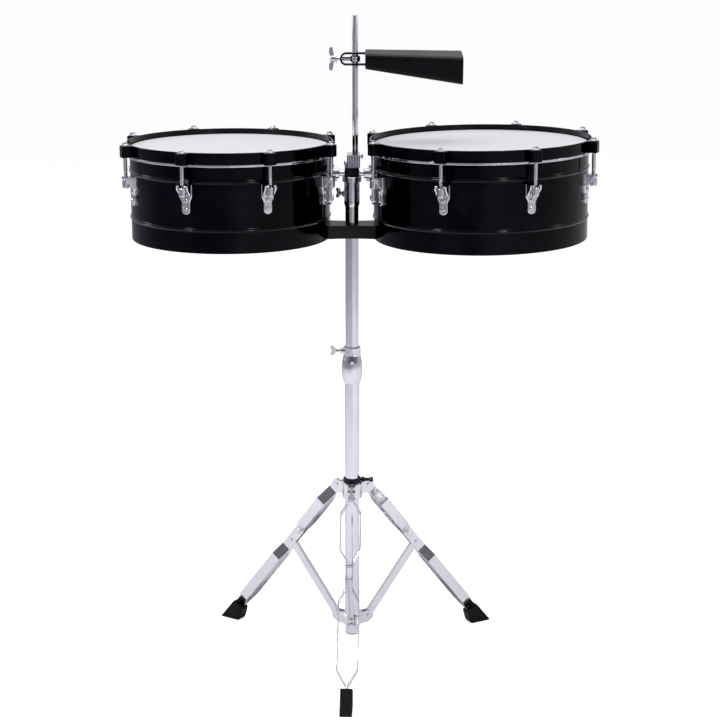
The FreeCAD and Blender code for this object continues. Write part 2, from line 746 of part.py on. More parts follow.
def collar_screws():
    """Cap screws with a hexagon socket, sunk in the front of the collar."""
    screws = []
    seat = lower_tube_radius + collar_screw_seat
    for above, reach in zip(collar_screws_above, collar_screw_heights):
        height = lower_tube_top + above
        body = rod(collar_screw_head_radius, reach, Vec(0, -seat, height), -Y_AXIS)
        floor = Vec(0, -seat - reach + collar_socket_depth, height)
        socket = hexagon(collar_socket_radius, through, floor, -Y_AXIS)
        screws.append(body.cut(socket))
    return screws


def height_wing_bolt():
    outside = collar_ring_radius + bolt_boss_rise
    screw = thumb_screw(outside - upper_tube_radius - loose_gap, thumb_seat_gap)
    screw.translate(Vec(outside, 0, 0))
    screw = turned(screw, 180)
    screw.translate(Vec(0, 0, height_bolt_height))
    return screw


def upper_tube():
    length = upper_tube_top - upper_tube_bottom
    inner = upper_tube_radius - upper_tube_wall
    return pipe(upper_tube_radius, inner, length, Vec(0, 0, upper_tube_bottom))


# ---------------------------------------------------------------- post clamp
def post_bolt_frame():
    return FreeCAD.Placement(Vec(0, 0, post_bolt_height), FreeCAD.Rotation(Z_AXIS, post_bolt_direction))


def mount_sleeve():
    """A turned sleeve over the post's top with a flange that carries the clamp casting."""
    bore = upper_tube_radius + tube_slide_gap
    edge = flange_chamfer
    sleeve = revolve([(bore, sleeve_bottom), (sleeve_radius - sleeve_chamfer, sleeve_bottom),
                      (sleeve_radius, sleeve_bottom + sleeve_taper),
                      (sleeve_radius, sleeve_top), (flange_radius - edge, sleeve_top),
                      (flange_radius, sleeve_top + edge), (flange_radius, flange_top - edge),
                      (flange_radius - edge, flange_top), (bore, flange_top)])
    boss = moved(rod(post_boss_radius, sleeve_radius + post_boss_rise, Vec(0, 0, 0), X_AXIS),
                 post_bolt_frame())
    boss = boss.cut(rod(bore, through, Vec(0, 0, sleeve_bottom)))
    hole = moved(rod(thumb_stem_radius + bolt_gap, through, Vec(0, 0, 0), X_AXIS), post_bolt_frame())
    return fuse_all([sleeve, boss]).cut(hole)


def post_wing_bolt():
    outside = sleeve_radius + post_boss_rise
    screw = thumb_screw(outside - upper_tube_radius - loose_gap, thumb_seat_gap)
    screw.translate(Vec(outside, 0, 0))
    return moved(screw, post_bolt_frame())


def cross_rod_solid():
    left_end = -left_shell_to_post + cross_rod_entry
    right_end = right_shell_to_post - cross_rod_entry
    return rod(cross_rod_radius, right_end - left_end, Vec(left_end, 0, cross_rod_height), X_AXIS)


def clamp_casting():
    """The casting that grips the cross rod over the post."""
    rear = bell_rod_y + block_rear_margin
    body = block(-casting_half_width, casting_half_width, -casting_front, rear, flange_top, casting_top)
    body = body.makeFillet(casting_corner, upright_edges(body))
    tools = [cross_rod_solid(),
             rod(bell_rod_radius + loose_gap, through, Vec(bell_rod_x, bell_rod_y, flange_top - through / 2))]
    return cut_all(body, tools)


def rod_clamp_block():
    """The fluted block that holds the cowbell rod."""
    rear = bell_rod_y + block_rear_margin
    body = block(block_left, block_right, -block_front, rear, casting_top, block_top)
    body = body.makeFillet(block_corner, upright_edges(body))
    pitch = (block_right - block_left) / (block_flutes + 1)
    under = casting_top - through / 2
    tools = [rod(bell_rod_radius + tube_slide_gap, through, Vec(bell_rod_x, bell_rod_y, under))]
    for k in range(block_flutes):
        x = block_left + (k + 1) * pitch
        for y in (-block_front - block_flute_out, rear + block_flute_out):
            tools.append(rod(block_flute_radius, through, Vec(x, y, under)))
    return cut_all(body, tools + block_screws())


def block_screw(side, edge, y, drop, depth):
    """A clamp screw in from one side of the block, this far below its top and this deep."""
    height = block_top - drop
    direction = Vec(side, 0, 0)
    shank = rod(block_screw_radius, depth + block_screw_neck, Vec(edge - side * depth, y, height), direction)
    head = button_head(block_screw_head_radius, block_screw_head_height,
                       Vec(edge + side * block_screw_neck, y, height), direction)
    return fuse_all([shank, head])


def block_screws():
    """The left screw holds the block down, and the right one grips the cowbell rod."""
    to_rod = block_right - bell_rod_x - bell_rod_radius - loose_gap
    return [block_screw(-1, block_left, 0, left_block_screw_drop, left_block_screw_depth),
            block_screw(1, block_right, bell_rod_y, right_block_screw_drop, to_rod)]


# ---------------------------------------------------------------- cowbell
def rounded_section(x, depth, bottom, top, corner):
    """A closed rounded rectangle in the plane at x."""
    half = depth / 2
    k = corner * (1 - math.sqrt(0.5))
    corners = [((-half, bottom + corner), (-half + k, bottom + k), (-half + corner, bottom)),
               ((half - corner, bottom), (half - k, bottom + k), (half, bottom + corner)),
               ((half, top - corner), (half - k, top - k), (half - corner, top)),
               ((-half + corner, top), (-half + k, top - k), (-half, top - corner))]
    edges = []
    for i, (a, b, c) in enumerate(corners):
        points = [Vec(x, y, z) for y, z in (a, b, c)]
        edges.append(Part.Arc(*points).toShape())
        following = corners[(i + 1) % 4][0]
        edges.append(Part.makeLine(points[2], Vec(x, following[0], following[1])))
    return Part.Wire(edges)


def bell_frame():
    """The bell's roll about its own long axis, and its place beside the rod."""
    middle = Vec(0, bell_rod_y, strap_middle)
    roll = FreeCAD.Rotation(X_AXIS, bell_roll)
    there = FreeCAD.Placement(middle, roll)
    return there.multiply(FreeCAD.Placement(Vec(0, 0, -strap_middle), FreeCAD.Rotation()))


def bell_section(share, inset):
    """The bell's section this share of its length from the closed end, inset on every side."""
    def between(start, finish):
        return start + (finish - start) * share

    return rounded_section(bell_start_x + bell_length * share,
                           between(bell_end_depth, bell_mouth_depth) - 2 * inset,
                           between(bell_end_bottom, bell_mouth_bottom) + inset,
                           between(bell_end_top, bell_mouth_top) - inset,
                           between(bell_end_corner, bell_mouth_corner) - inset)


def bell_solid():
    """The bell's outside as one solid."""
    return Part.makeLoft([bell_section(0, 0), bell_section(1, 0)], True, True)


def cowbell_body():
    wall_share = bell_wall / bell_length
    inside = Part.makeLoft([bell_section(wall_share, bell_wall),
                            bell_section(1 + wall_share, bell_wall)], True, True)
    return moved(bell_solid().cut(inside), bell_frame())


def cowbell_strap():
    """A flat strip bent round the rod, its ends welded to the bell's closed end."""
    radius = strap_height / 2
    bend_x = bell_rod_x - strap_reach + radius

    def loop(inset):
        r = radius - inset
        tip = bell_start_x + strap_root + (strap_root if inset else 0.0)
        top = Vec(bend_x, 0, strap_middle + r)
        low = Vec(bend_x, 0, strap_middle - r)
        return face_of([Part.makeLine(Vec(tip, 0, strap_middle + r), top),
                        Part.Arc(top, Vec(bend_x - r, 0, strap_middle), low).toShape(),
                        Part.makeLine(low, Vec(tip, 0, strap_middle - r)),
                        Part.makeLine(Vec(tip, 0, strap_middle - r), Vec(tip, 0, strap_middle + r))])

    depth = Vec(0, strap_width, 0)
    strap = loop(0).extrude(depth).cut(loop(strap_wall).extrude(depth))
    strap.translate(Vec(0, bell_rod_y - strap_width / 2, 0))
    centre = Vec(bell_rod_x, bell_rod_y, strap_middle)
    rod_hole = rod(bell_rod_radius + loose_gap, through, centre - Z_AXIS * (through / 2))
    stem_hole = rod(eye_stem_radius + bolt_gap, through, centre, -X_AXIS)
    return cut_all(strap, [rod_hole, stem_hole, moved(bell_solid(), bell_frame())])


def cowbell_eye_bolt():
    """The eye round the rod, with a threaded stem out through the strap."""
    centre = Vec(bell_rod_x, bell_rod_y, strap_middle - eye_height / 2)
    eye = rod(eye_radius, eye_height, centre)
    eye = eye.makeFillet(eye_round, level_edges(eye))
    stem = rod(eye_stem_radius, eye_stem_end, Vec(bell_rod_x, bell_rod_y, strap_middle), -X_AXIS)
    bore = rod(bell_rod_radius + tube_slide_gap, through,
               Vec(bell_rod_x, bell_rod_y, strap_middle - through / 2))
    return fuse_all([eye, stem]).cut(bore)


def cowbell_wing_nut():
    """A wing nut on the eye bolt's stem: its wings lean away from the bell."""
    start_x = bell_rod_x - wing_nut_start
    hub = rod(wing_nut_radius, wing_nut_length, Vec(start_x, 0, 0), -X_AXIS)
    washer = rod(wing_nut_radius + wing_flange_reach, wing_flange_height,
                 Vec(start_x + wing_flange_height, 0, 0), -X_AXIS)
    half = wing_span / 2
    root = start_x - wing_nut_length * 0.35
    outline = [Vec(root, 0, 0), Vec(root - 1.0, 0, wing_nut_radius),
               Vec(root - wing_width * 0.45, 0, half), Vec(root - wing_width * 1.05, 0, half - 2),
               Vec(root - wing_width * 1.1, 0, half * 0.45),
               Vec(root - wing_width * 0.55, 0, 0)]
    wing = polygon_face(outline).extrude(Vec(0, wing_thickness, 0))
    wing.translate(Vec(0, -wing_thickness / 2, 0))
    tips = [e for e in edges_across(wing, wing_thickness) if e.BoundBox.ZMin > wing_nut_radius + tiny]
    wing = wing.makeFillet(wing_corner, tips)
    other = wing.mirror(Vec(0, 0, 0), Z_AXIS)
    nut = fuse_all([hub, washer, wing, other])
    nut = nut.cut(rod(eye_stem_radius + bolt_gap, through, Vec(start_x + through / 2, 0, 0), -X_AXIS))
    nut.translate(Vec(0, bell_rod_y, strap_middle))
    return nut


def cowbell_rod():
    length = bell_rod_top - bell_rod_bottom
    bar = rod(bell_rod_radius, length, Vec(bell_rod_x, bell_rod_y, bell_rod_bottom))
    return bar.makeChamfer(rod_end_chamfer, level_edges(bar))


# ---------------------------------------------------------------- drums
class Drum:
    """One drum. Its own frame has the hoop's top at 0 and the post towards +X."""

    def __init__(self, side):
        left = side == "left"
        self.side = side
        self.radius = left_shell_radius if left else right_shell_radius
        self.depth = left_drum_depth if left else right_drum_depth
        self.hoop_top = left_hoop_top if left else right_hoop_top
        self.to_post = left_shell_to_post if left else right_shell_to_post
        self.turn = left_drum_turn if left else right_drum_turn
        self.tilt = left_drum_tilt if left else right_drum_tilt
        self.lug_drop = left_lug_drop if left else right_lug_drop
        self.facing = 0 if left else 180
        self.sign = -1 if left else 1
        self.first_rod = 180.0 / rod_count - self.sign * self.turn

    def frame(self):
        centre = Vec(self.sign * (self.radius + self.to_post), 0, self.hoop_top)
        placed = FreeCAD.Placement(centre, FreeCAD.Rotation(Z_AXIS, self.facing))
        hinge = Vec(self.sign * self.to_post, 0, cross_rod_height)
        lean = FreeCAD.Rotation(Y_AXIS, -self.sign * self.tilt)
        return FreeCAD.Placement(Vec(0, 0, 0), lean, hinge).multiply(placed)

    def bead_levels(self):
        return (-self.depth + lower_bead_rise, -upper_bead_drop)

    def outline_edges(self, radius, low, high):
        """The wall's line from low to high at this radius, bowed out at each bead."""
        edges = []
        level = low
        for bead in self.bead_levels():
            start = Vec(radius, 0, bead - bead_half_width)
            finish = Vec(radius, 0, bead + bead_half_width)
            edges.append(Part.makeLine(Vec(radius, 0, level), start))
            edges.append(Part.Arc(start, Vec(radius + bead_height, 0, bead), finish).toShape())
            level = bead + bead_half_width
        edges.append(Part.makeLine(Vec(radius, 0, level), Vec(radius, 0, high)))
        return edges

    def envelope(self):
        """The shell's outside as one solid, to fit what touches it."""
        low = -self.depth
        edges = self.outline_edges(self.radius, low, 0)
        edges += [Part.makeLine(Vec(0, 0, low), Vec(self.radius, 0, low)),
                  Part.makeLine(Vec(0, 0, 0), Vec(self.radius, 0, 0)),
                  Part.makeLine(Vec(0, 0, low), Vec(0, 0, 0))]
        return face_of(edges).revolve(Vec(0, 0, 0), Z_AXIS, 360)

    def shell(self):
        low = -self.depth
        high = -head_drop - film_thickness
        inner = self.radius - shell_wall
        edges = self.outline_edges(self.radius, low, high) + self.outline_edges(inner, low, high)
        edges += [Part.makeLine(Vec(inner, 0, z), Vec(self.radius, 0, z)) for z in (low, high)]
        wall = face_of(edges).revolve(Vec(0, 0, 0), Z_AXIS, 360)
        hem = Part.makeTorus(self.radius - hem_radius, hem_radius, Vec(0, 0, low + hem_radius))
        holes = self.lug_screw_shanks() + self.mount_screw_shanks() + self.yoke_bolt_shanks()
        return cut_all(fuse_all([wall, hem]), holes)

    def head_film(self):
        skirt = self.radius + skirt_gap
        rim = skirt + film_thickness
        top = -head_drop
        under = top - film_thickness
        foot = -hoop_height + flesh_seat - skirt_tuck
        return revolve([(0, top), (skirt, top), (rim, under), (rim, foot), (skirt, foot),
                        (skirt, under), (0, under)])

    def flesh_hoop(self):
        inner = self.radius + skirt_gap + film_thickness
        lip = self.radius + hoop_overhang - hoop_wall - flesh_lip_gap
        outer = self.radius + hoop_overhang - flesh_inset
        base = -hoop_height - flesh_height
        return revolve([(inner, base), (outer - flesh_chamfer, base), (outer, base + flesh_chamfer),
                        (outer, -hoop_height), (lip, -hoop_height),
                        (lip, -hoop_height + flesh_seat), (inner, -hoop_height + flesh_seat)])

    def counterhoop(self):
        outer = self.radius + hoop_overhang
        inner = outer - hoop_wall
        band = revolve([(inner, -hoop_height), (outer, -hoop_height), (outer, -hoop_edge),
                        (outer - hoop_edge, 0), (inner + hoop_inner_edge, 0),
                        (inner, -hoop_inner_edge)])
        ear = block(outer - ear_root, self.radius + ear_reach, -ear_width / 2, ear_width / 2,
                    -hoop_height, 0)
        outside = [e for e in upright_edges(ear) if e.BoundBox.XMin > outer]
        ear = ear.makeFillet(ear_corner, outside)
        lips = [e for e in level_edges(ear) if abs(e.BoundBox.ZMin) < tiny and e.BoundBox.XMax > outer]
        ear = ear.makeChamfer(hoop_edge, lips)
        hole = rod(tension_rod_radius + ear_hole_gap, hoop_height,
                   Vec(self.rod_circle(), 0, -hoop_height))
        ears = all_round(ear.cut(hole), rod_count, self.first_rod)
        inside = rod(outer - ear_fusion, hoop_height, Vec(0, 0, -hoop_height))
        ears = [e.cut(inside) for e in ears]
        return fuse_all([band] + ears)

    def rod_circle(self):
        return self.radius + tension_rod_reach

    def tension_rods(self):
        """Square-headed rods from the hoop's ears down into the lugs' nuts."""
        tip = -self.lug_drop - lug_claw_thickness - nut_length + rod_tip_rise
        collar_at = washer_thickness
        square_at = collar_at + rod_collar_height
        at = self.rod_circle()
        bar = rod(tension_rod_radius, square_at - tip, Vec(at, 0, tip))
        collar = rod(rod_collar_radius, rod_collar_height, Vec(at, 0, collar_at))
        half = rod_square / 2
        square = block(at - half, at + half, -half, half, square_at, square_at + rod_square_height)
        top_edges = [e for e in level_edges(square) if e.BoundBox.ZMin > square_at + tiny]
        square = square.makeChamfer(rod_square_chamfer, top_edges)
        return all_round(fuse_all([bar, collar, square]), rod_count, self.first_rod)

    def rod_washers(self):
        washer = pipe(washer_radius, tension_rod_radius + bolt_gap, washer_thickness,
                      Vec(self.rod_circle(), 0, 0))
        return all_round(washer, rod_count, self.first_rod)

    def swivel_nuts(self):
        """Barrel nuts under the lugs' claws."""
        top = -self.lug_drop - lug_claw_thickness
        at = self.rod_circle()
        barrel = rod(nut_radius, nut_length, Vec(at, 0, top - nut_length))
        rims = [e for e in level_edges(barrel) if e.BoundBox.ZMin < top - tiny]
        barrel = barrel.makeChamfer(nut_chamfer, rims)
        barrel = barrel.cut(rod(tension_rod_radius + bolt_gap, nut_length,
                                Vec(at, 0, top - nut_length)))
        return all_round(barrel, rod_count, self.first_rod)

    def lug_outline(self, inset, x):
        """The lug seen from outside the drum, drawn in the plane at x."""
        top = -self.lug_drop - inset
        shoulder = -self.lug_drop - lug_shoulder_drop
        waist = -self.lug_drop - lug_waist_drop
        wide = lug_top_width / 2 - inset
        slim = lug_waist_width / 2 - inset
        round_end = lug_bottom_width / 2 - inset
        centre = -self.lug_drop - lug_height + lug_bottom_width / 2
        points = [(-round_end, centre), (-slim, waist), (-wide, shoulder), (-wide, top),
                  (wide, top), (wide, shoulder), (slim, waist), (round_end, centre)]
        corners = [Vec(x, y, z) for y, z in points]
        edges = [Part.makeLine(a, b) for a, b in zip(corners, corners[1:])]
        bottom = Part.Arc(corners[-1], Vec(x, 0, centre - round_end), corners[0]).toShape()
        return face_of(edges + [bottom])

    def screw_end(self):
        """Where the lug and mount screws end, inside the shell."""
        return self.radius - shell_wall - inner_nut_height - screw_tail

    def lug_screw_shanks(self):
        inner = self.screw_end()
        outer = self.radius + lug_depth
        shanks = []
        for drop in lug_screw_drops:
            shank = rod(lug_screw_radius, outer - inner, Vec(inner, 0, -self.lug_drop - drop), X_AXIS)
            shanks += all_round(shank, rod_count, self.first_rod)
        return shanks

    def lug_screws(self):
        """Button-headed screws through the lug and the shell, with nuts inside."""
        pieces = []
        outer = self.radius + lug_depth
        nut_face = self.radius - shell_wall - lug_nut_gap
        inner = self.screw_end()
        for drop in lug_screw_drops:
            level = -self.lug_drop - drop
            shank = rod(lug_screw_radius, outer - inner, Vec(inner, 0, level), X_AXIS)
            head = button_head(lug_screw_head_radius, lug_screw_head_height, Vec(outer, 0, level), X_AXIS)
            nut = hexagon(inner_nut_radius, inner_nut_height, Vec(nut_face, 0, level), -X_AXIS)
            pieces += all_round(fuse_all([shank, head, nut]), rod_count, self.first_rod)
        return pieces

    def lugs(self):
        """Pressed lugs: a hollow waisted body and a slotted claw over the nut."""
        start = self.radius - lug_wall
        outer = self.radius + lug_depth
        top = -self.lug_drop
        body = self.lug_outline(0, start).extrude(Vec(outer - start, 0, 0))
        hollow = self.lug_outline(lug_wall, start).extrude(Vec(outer - start - lug_wall, 0, 0))
        body = body.cut(hollow)
        tip = self.radius + lug_claw_reach
        half = lug_claw_width / 2
        claw = block(outer - lug_wall, tip, -half, half, top - lug_claw_thickness, top)
        claw = claw.makeFillet(lug_claw_corner, [e for e in upright_edges(claw)
                                                 if e.BoundBox.XMin > outer])
        slot_half = tension_rod_radius + lug_slot_gap
        at = self.rod_circle()
        slot = fuse_all([rod(slot_half, 2 * lug_height, Vec(at, 0, top - lug_height)),
                         block(at, at + ear_reach, -slot_half, slot_half,
                               top - lug_height, top + lug_height)])
        claw = claw.cut(slot)
        cheeks = []
        root = outer - lug_cheek_root
        for side in (-1, 1):
            y = side * (half - lug_cheek_wall / 2)
            under = top - lug_cheek_drop
            triangle = polygon_face([Vec(root, y, under), Vec(tip - lug_cheek_inset, y, under),
                                     Vec(tip - lug_nose_inset, y, top - lug_nose_drop),
                                     Vec(root, y, top - lug_shoulder_drop)])
            cheek = triangle.extrude(Vec(0, lug_cheek_wall, 0))
            cheek.translate(Vec(0, -lug_cheek_wall / 2, 0))
            cheeks.append(cheek)
        window = rod(lug_window_radius, through, Vec(self.radius, 0, top - lug_window_drop), X_AXIS)
        lug = fuse_all([body, claw] + cheeks).cut(window)
        screws = [rod(lug_screw_radius, self.radius + through, Vec(0, 0, top - drop), X_AXIS)
                  for drop in lug_screw_drops]
        lug = cut_all(lug, screws + [self.envelope()])
        return all_round(lug, rod_count, self.first_rod)

    def mount_level(self):
        return cross_rod_height - self.hoop_top

    def mount_screw_shanks(self):
        inner = self.screw_end()
        outer = self.radius + mount_plate_thickness
        return [rod(mount_screw_radius, outer - inner, Vec(inner, 0, self.mount_level() - drop), X_AXIS)
                for drop in mount_screw_drops]

    def mount_screws(self):
        inner = self.screw_end()
        outer = self.radius + mount_plate_thickness
        pieces = []
        for drop in mount_screw_drops:
            level = self.mount_level() - drop
            shank = rod(mount_screw_radius, outer - inner, Vec(inner, 0, level), X_AXIS)
            head = button_head(mount_screw_head_radius, mount_screw_head_height,
                               Vec(outer, 0, level), X_AXIS)
            nut = hexagon(mount_nut_radius, inner_nut_height,
                          Vec(self.radius - shell_wall - mount_nut_gap, 0, level), -X_AXIS)
            pieces.append(fuse_all([shank, head, nut]))
        return pieces

    def mount_bracket(self):
        """A plate on the shell with a boss that takes the cross rod's end."""
        level = self.mount_level()
        outer = self.radius + mount_plate_thickness
        low = level - mount_plate_bottom_drop
        plate = rod(outer, mount_plate_bottom_drop - mount_plate_top_drop, Vec(0, 0, low))
        half = mount_plate_width / 2
        window = block(0, outer, -half, half, low, level)
        lower_corners = [e for e in level_edges(window) if e.BoundBox.YLength < tiny
                         and e.BoundBox.ZMin < low + tiny]
        plate = plate.common(window.makeFillet(mount_plate_corner, lower_corners))
        root = self.radius - mount_screw_radius
        end = self.radius + mount_boss_reach
        boss = rod(mount_boss_radius, end - root, Vec(root, 0, level), X_AXIS)
        boss = boss.makeChamfer(mount_boss_chamfer, [e for e in boss.Edges if e.BoundBox.XMin > end - tiny])
        rib_half = mount_rib_width / 2
        rib = block(root, end - mount_rib_setback, -rib_half, rib_half, level - mount_rib_drop, level)
        tools = [self.envelope()] + self.mount_screw_shanks()
        return cut_all(fuse_all([plate, boss, rib]), tools)

    def yoke_level(self):
        return yoke_bottom + yoke_height / 2 - self.hoop_top

    def yoke_bolt_angles(self):
        angle = math.degrees(math.asin(yoke_bolt_offset / self.radius))
        return (-angle, angle)

    def yoke_bolt_shanks(self):
        inner = self.radius - shell_wall - yoke_bolt_head_height
        outer = self.radius + yoke_wall + yoke_bolt_head_height
        bolt = rod(yoke_bolt_radius, outer - inner, Vec(inner, 0, self.yoke_level()), X_AXIS)
        return [turned(bolt, a) for a in self.yoke_bolt_angles()]

    def yoke_bolts(self):
        level = self.yoke_level()
        inner = self.radius - shell_wall - yoke_bolt_gap
        outer = self.radius + yoke_wall
        head = button_head(yoke_bolt_head_radius, yoke_bolt_head_height, Vec(inner, 0, level), -X_AXIS)
        nut = hexagon(yoke_bolt_head_radius, yoke_bolt_head_height, Vec(outer, 0, level), X_AXIS)
        start = inner - yoke_bolt_head_height / 2
        length = outer - inner + yoke_bolt_head_height
        shank = rod(yoke_bolt_radius, length, Vec(start, 0, level), X_AXIS)
        return [turned(fuse_all([head, shank, nut]), a) for a in self.yoke_bolt_angles()]

    def place(self, shapes):
        frame = self.frame()
        return [moved(s, frame) for s in shapes]


def yoke_plan(half_depth, end_half_depth):
    """The yoke seen from above: narrower at the post than at the shells."""
    front = Part.Arc(Vec(-yoke_end_x, -end_half_depth, 0), Vec(0, -half_depth, 0),
                     Vec(yoke_end_x, -end_half_depth, 0)).toShape()
    rear = Part.Arc(Vec(-yoke_end_x, end_half_depth, 0), Vec(0, half_depth, 0),
                    Vec(yoke_end_x, end_half_depth, 0)).toShape()
    ends = [Part.makeLine(Vec(x, -end_half_depth, 0), Vec(x, end_half_depth, 0))
            for x in (-yoke_end_x, yoke_end_x)]
    return face_of([front, rear] + ends)


def yoke(drums):
    """A pressed channel between the shells, flanged to each, with the post through it."""
    outside = yoke_plan(yoke_half_depth, yoke_end_half_depth).extrude(Vec(0, 0, yoke_height))
    inside = yoke_plan(yoke_half_depth - yoke_wall,
                       yoke_end_half_depth - yoke_wall).extrude(Vec(0, 0, yoke_height - yoke_wall))
    outside.translate(Vec(0, 0, yoke_bottom))
    inside.translate(Vec(0, 0, yoke_bottom))
    shells = []
    flanges = []
    for drum in drums:
        bottom = Vec(0, 0, -drum.depth - yoke_height)
        shells += drum.place([rod(drum.radius, drum.depth, bottom)])
        flanges += drum.place([rod(drum.radius + yoke_wall, drum.depth, bottom)])
    channel = outside.cut(cut_all(inside, flanges))
    tools = shells + [rod(upper_tube_radius + loose_gap, through, Vec(0, 0, yoke_bottom - through / 2))]
    for drum in drums:
        tools += drum.place(drum.yoke_bolt_shanks())
    return cut_all(channel, tools)


# ---------------------------------------------------------------- write the parts
def make_parts():
    parts = {
        "lower_tube": [lower_tube()],
        "tube_plug": [tube_plug()],
        "lower_bracket": [lower_bracket()],
        "bracket_rivets": pivot_pins(lower_pivot_height, bracket_slot_half + bracket_ear_wall),
        "leg_hub": [leg_hub()],
        "hub_rivets": pivot_pins(hub_pivot_height, hub_slot_half + hub_ear_wall),
        "hub_ring": [hub_ring()],
        "hub_clamp_bolt": [hub_clamp_bolt()],
        "height_collar": [height_collar()],
        "collar_bush": [collar_bush()],
        "collar_screws": collar_screws(),
        "height_wing_bolt": [height_wing_bolt()],
        "upper_tube": [upper_tube()],
        "mount_sleeve": [mount_sleeve()],
        "post_wing_bolt": [post_wing_bolt()],
        "clamp_casting": [clamp_casting()],
        "cross_rod": [cross_rod_solid()],
        "rod_clamp_block": [rod_clamp_block()],
        "block_screws": block_screws(),
        "cowbell_rod": [cowbell_rod()],
        "cowbell_body": [cowbell_body()],
        "cowbell_strap": [cowbell_strap()],
        "cowbell_eye_bolt": [cowbell_eye_bolt()],
        "cowbell_wing_nut": [cowbell_wing_nut()],
    }
    for name, azimuth in leg_azimuths.items():
        knee_gap = pivot_gap if name == "front" else open_pivot_gap
        parts["leg_" + name + "_strips"] = [moved(s, leg_frame(azimuth)) for s in leg_strips()]
        parts["leg_" + name + "_rivets"] = [moved(s, leg_frame(azimuth)) for s in leg_rivets()]
        parts["foot_" + name] = [rubber_boot(azimuth)]
        parts["strut_" + name] = [moved(channel_strut(knee_gap), strut_frame(azimuth))]
    drums = [Drum("left"), Drum("right")]
    for drum in drums:
        side = drum.side + "_"
        parts[side + "shell"] = drum.place([drum.shell()])
        parts[side + "head_film"] = drum.place([drum.head_film()])
        parts[side + "flesh_hoop"] = drum.place([drum.flesh_hoop()])
        parts[side + "counterhoop"] = drum.place([drum.counterhoop()])
        parts[side + "lugs"] = drum.place(drum.lugs())
        parts[side + "lug_screws"] = drum.place(drum.lug_screws())
        parts[side + "swivel_nuts"] = drum.place(drum.swivel_nuts())
        parts[side + "tension_rods"] = drum.place(drum.tension_rods())
        parts[side + "rod_washers"] = drum.place(drum.rod_washers())
        parts[side + "mount_bracket"] = [cut_all(s, [cross_rod_solid()])
                                         for s in drum.place([drum.mount_bracket()])]
        parts[side + "mount_screws"] = drum.place(drum.mount_screws())
    parts["yoke"] = [yoke(drums)]
    parts["yoke_bolts"] = [b for d in drums for b in d.place(d.yoke_bolts())]
    return parts


def main():
    os.makedirs("parts", exist_ok=True)
    for name, solids in make_parts().items():
        flat = [s for shape in solids for s in shape.Solids]
        whole = flat[0] if len(flat) == 1 else Part.makeCompound(flat)
        whole.exportStep(os.path.join("parts", name + ".step"))
        print("%-24s %2d solids  %9.0f mm3  %s" % (
            name, len(flat), whole.Volume, "ok" if whole.isValid() else "INVALID"))


main()
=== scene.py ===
"""Timbales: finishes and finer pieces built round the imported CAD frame."""
import json
import math
import bmesh
import bpy
from mathutils import Matrix, Vector


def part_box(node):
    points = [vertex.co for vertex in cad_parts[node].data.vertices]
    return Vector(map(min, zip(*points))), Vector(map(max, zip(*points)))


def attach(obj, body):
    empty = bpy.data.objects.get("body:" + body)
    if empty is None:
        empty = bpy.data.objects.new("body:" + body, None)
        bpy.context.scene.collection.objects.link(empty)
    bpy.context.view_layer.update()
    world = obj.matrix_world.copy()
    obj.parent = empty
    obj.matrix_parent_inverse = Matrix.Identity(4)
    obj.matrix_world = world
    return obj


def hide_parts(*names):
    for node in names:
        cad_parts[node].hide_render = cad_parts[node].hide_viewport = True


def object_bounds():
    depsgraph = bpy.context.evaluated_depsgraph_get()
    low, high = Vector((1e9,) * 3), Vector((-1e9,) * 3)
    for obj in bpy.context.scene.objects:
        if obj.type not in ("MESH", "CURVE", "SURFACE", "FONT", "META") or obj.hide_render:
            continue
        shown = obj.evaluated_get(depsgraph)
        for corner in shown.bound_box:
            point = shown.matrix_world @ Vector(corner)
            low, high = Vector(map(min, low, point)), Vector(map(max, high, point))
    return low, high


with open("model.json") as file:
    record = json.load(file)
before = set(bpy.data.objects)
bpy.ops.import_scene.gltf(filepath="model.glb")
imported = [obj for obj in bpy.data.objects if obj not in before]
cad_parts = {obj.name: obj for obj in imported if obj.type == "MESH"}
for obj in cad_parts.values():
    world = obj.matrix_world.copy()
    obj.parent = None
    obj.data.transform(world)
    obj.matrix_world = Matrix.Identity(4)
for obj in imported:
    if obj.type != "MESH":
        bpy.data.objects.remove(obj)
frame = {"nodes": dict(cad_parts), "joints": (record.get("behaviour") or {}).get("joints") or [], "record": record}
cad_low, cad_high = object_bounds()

bl_info = {
    "name": "Timbales",
    "version": (1, 0, 0),
    "blender": (4, 5, 0),
    "location": "3D View > Sidebar > Timbales",
    "description": "Finishes and finer pieces of a pair of timbales on a folding stand",
    "category": "Object",
}

nodes = frame["nodes"]
MM = 0.001
SIDES = ("left", "right")
FLOOR_GLOW = 0.55               # light the floor adds where it is seen directly
FLOOR_COLOUR = (0.88, 0.87, 0.89, 1.0)
FLOOR_LEFT = (0.52, 0.52, 0.56, 1.0)    # what plating mirrors of the floor far out on the left
FLOOR_RIGHT = (0.96, 0.95, 0.97, 1.0)   # and on the right
FLOOR_RADIUS = 30.0
CAMERA_PLACE = (0.0135, -2.8586, 1.2524)
CAMERA_PITCH = 14.24            # degrees below level
CAMERA_LENS = 86.4              # millimetres, on a sensor 36 mm wide
BLACK_LEVEL = 0.005
BEAD_STEPS = 8                  # runs from a bead's foot to its crest
HEM_STEPS = 12
WELD = 2e-6                     # points closer than this are one
WING_SCREWS = {"height_wing_bolt": "height_bolt_turn", "hub_clamp_bolt": "hub_bolt_turn",
               "post_wing_bolt": "post_bolt_turn"}
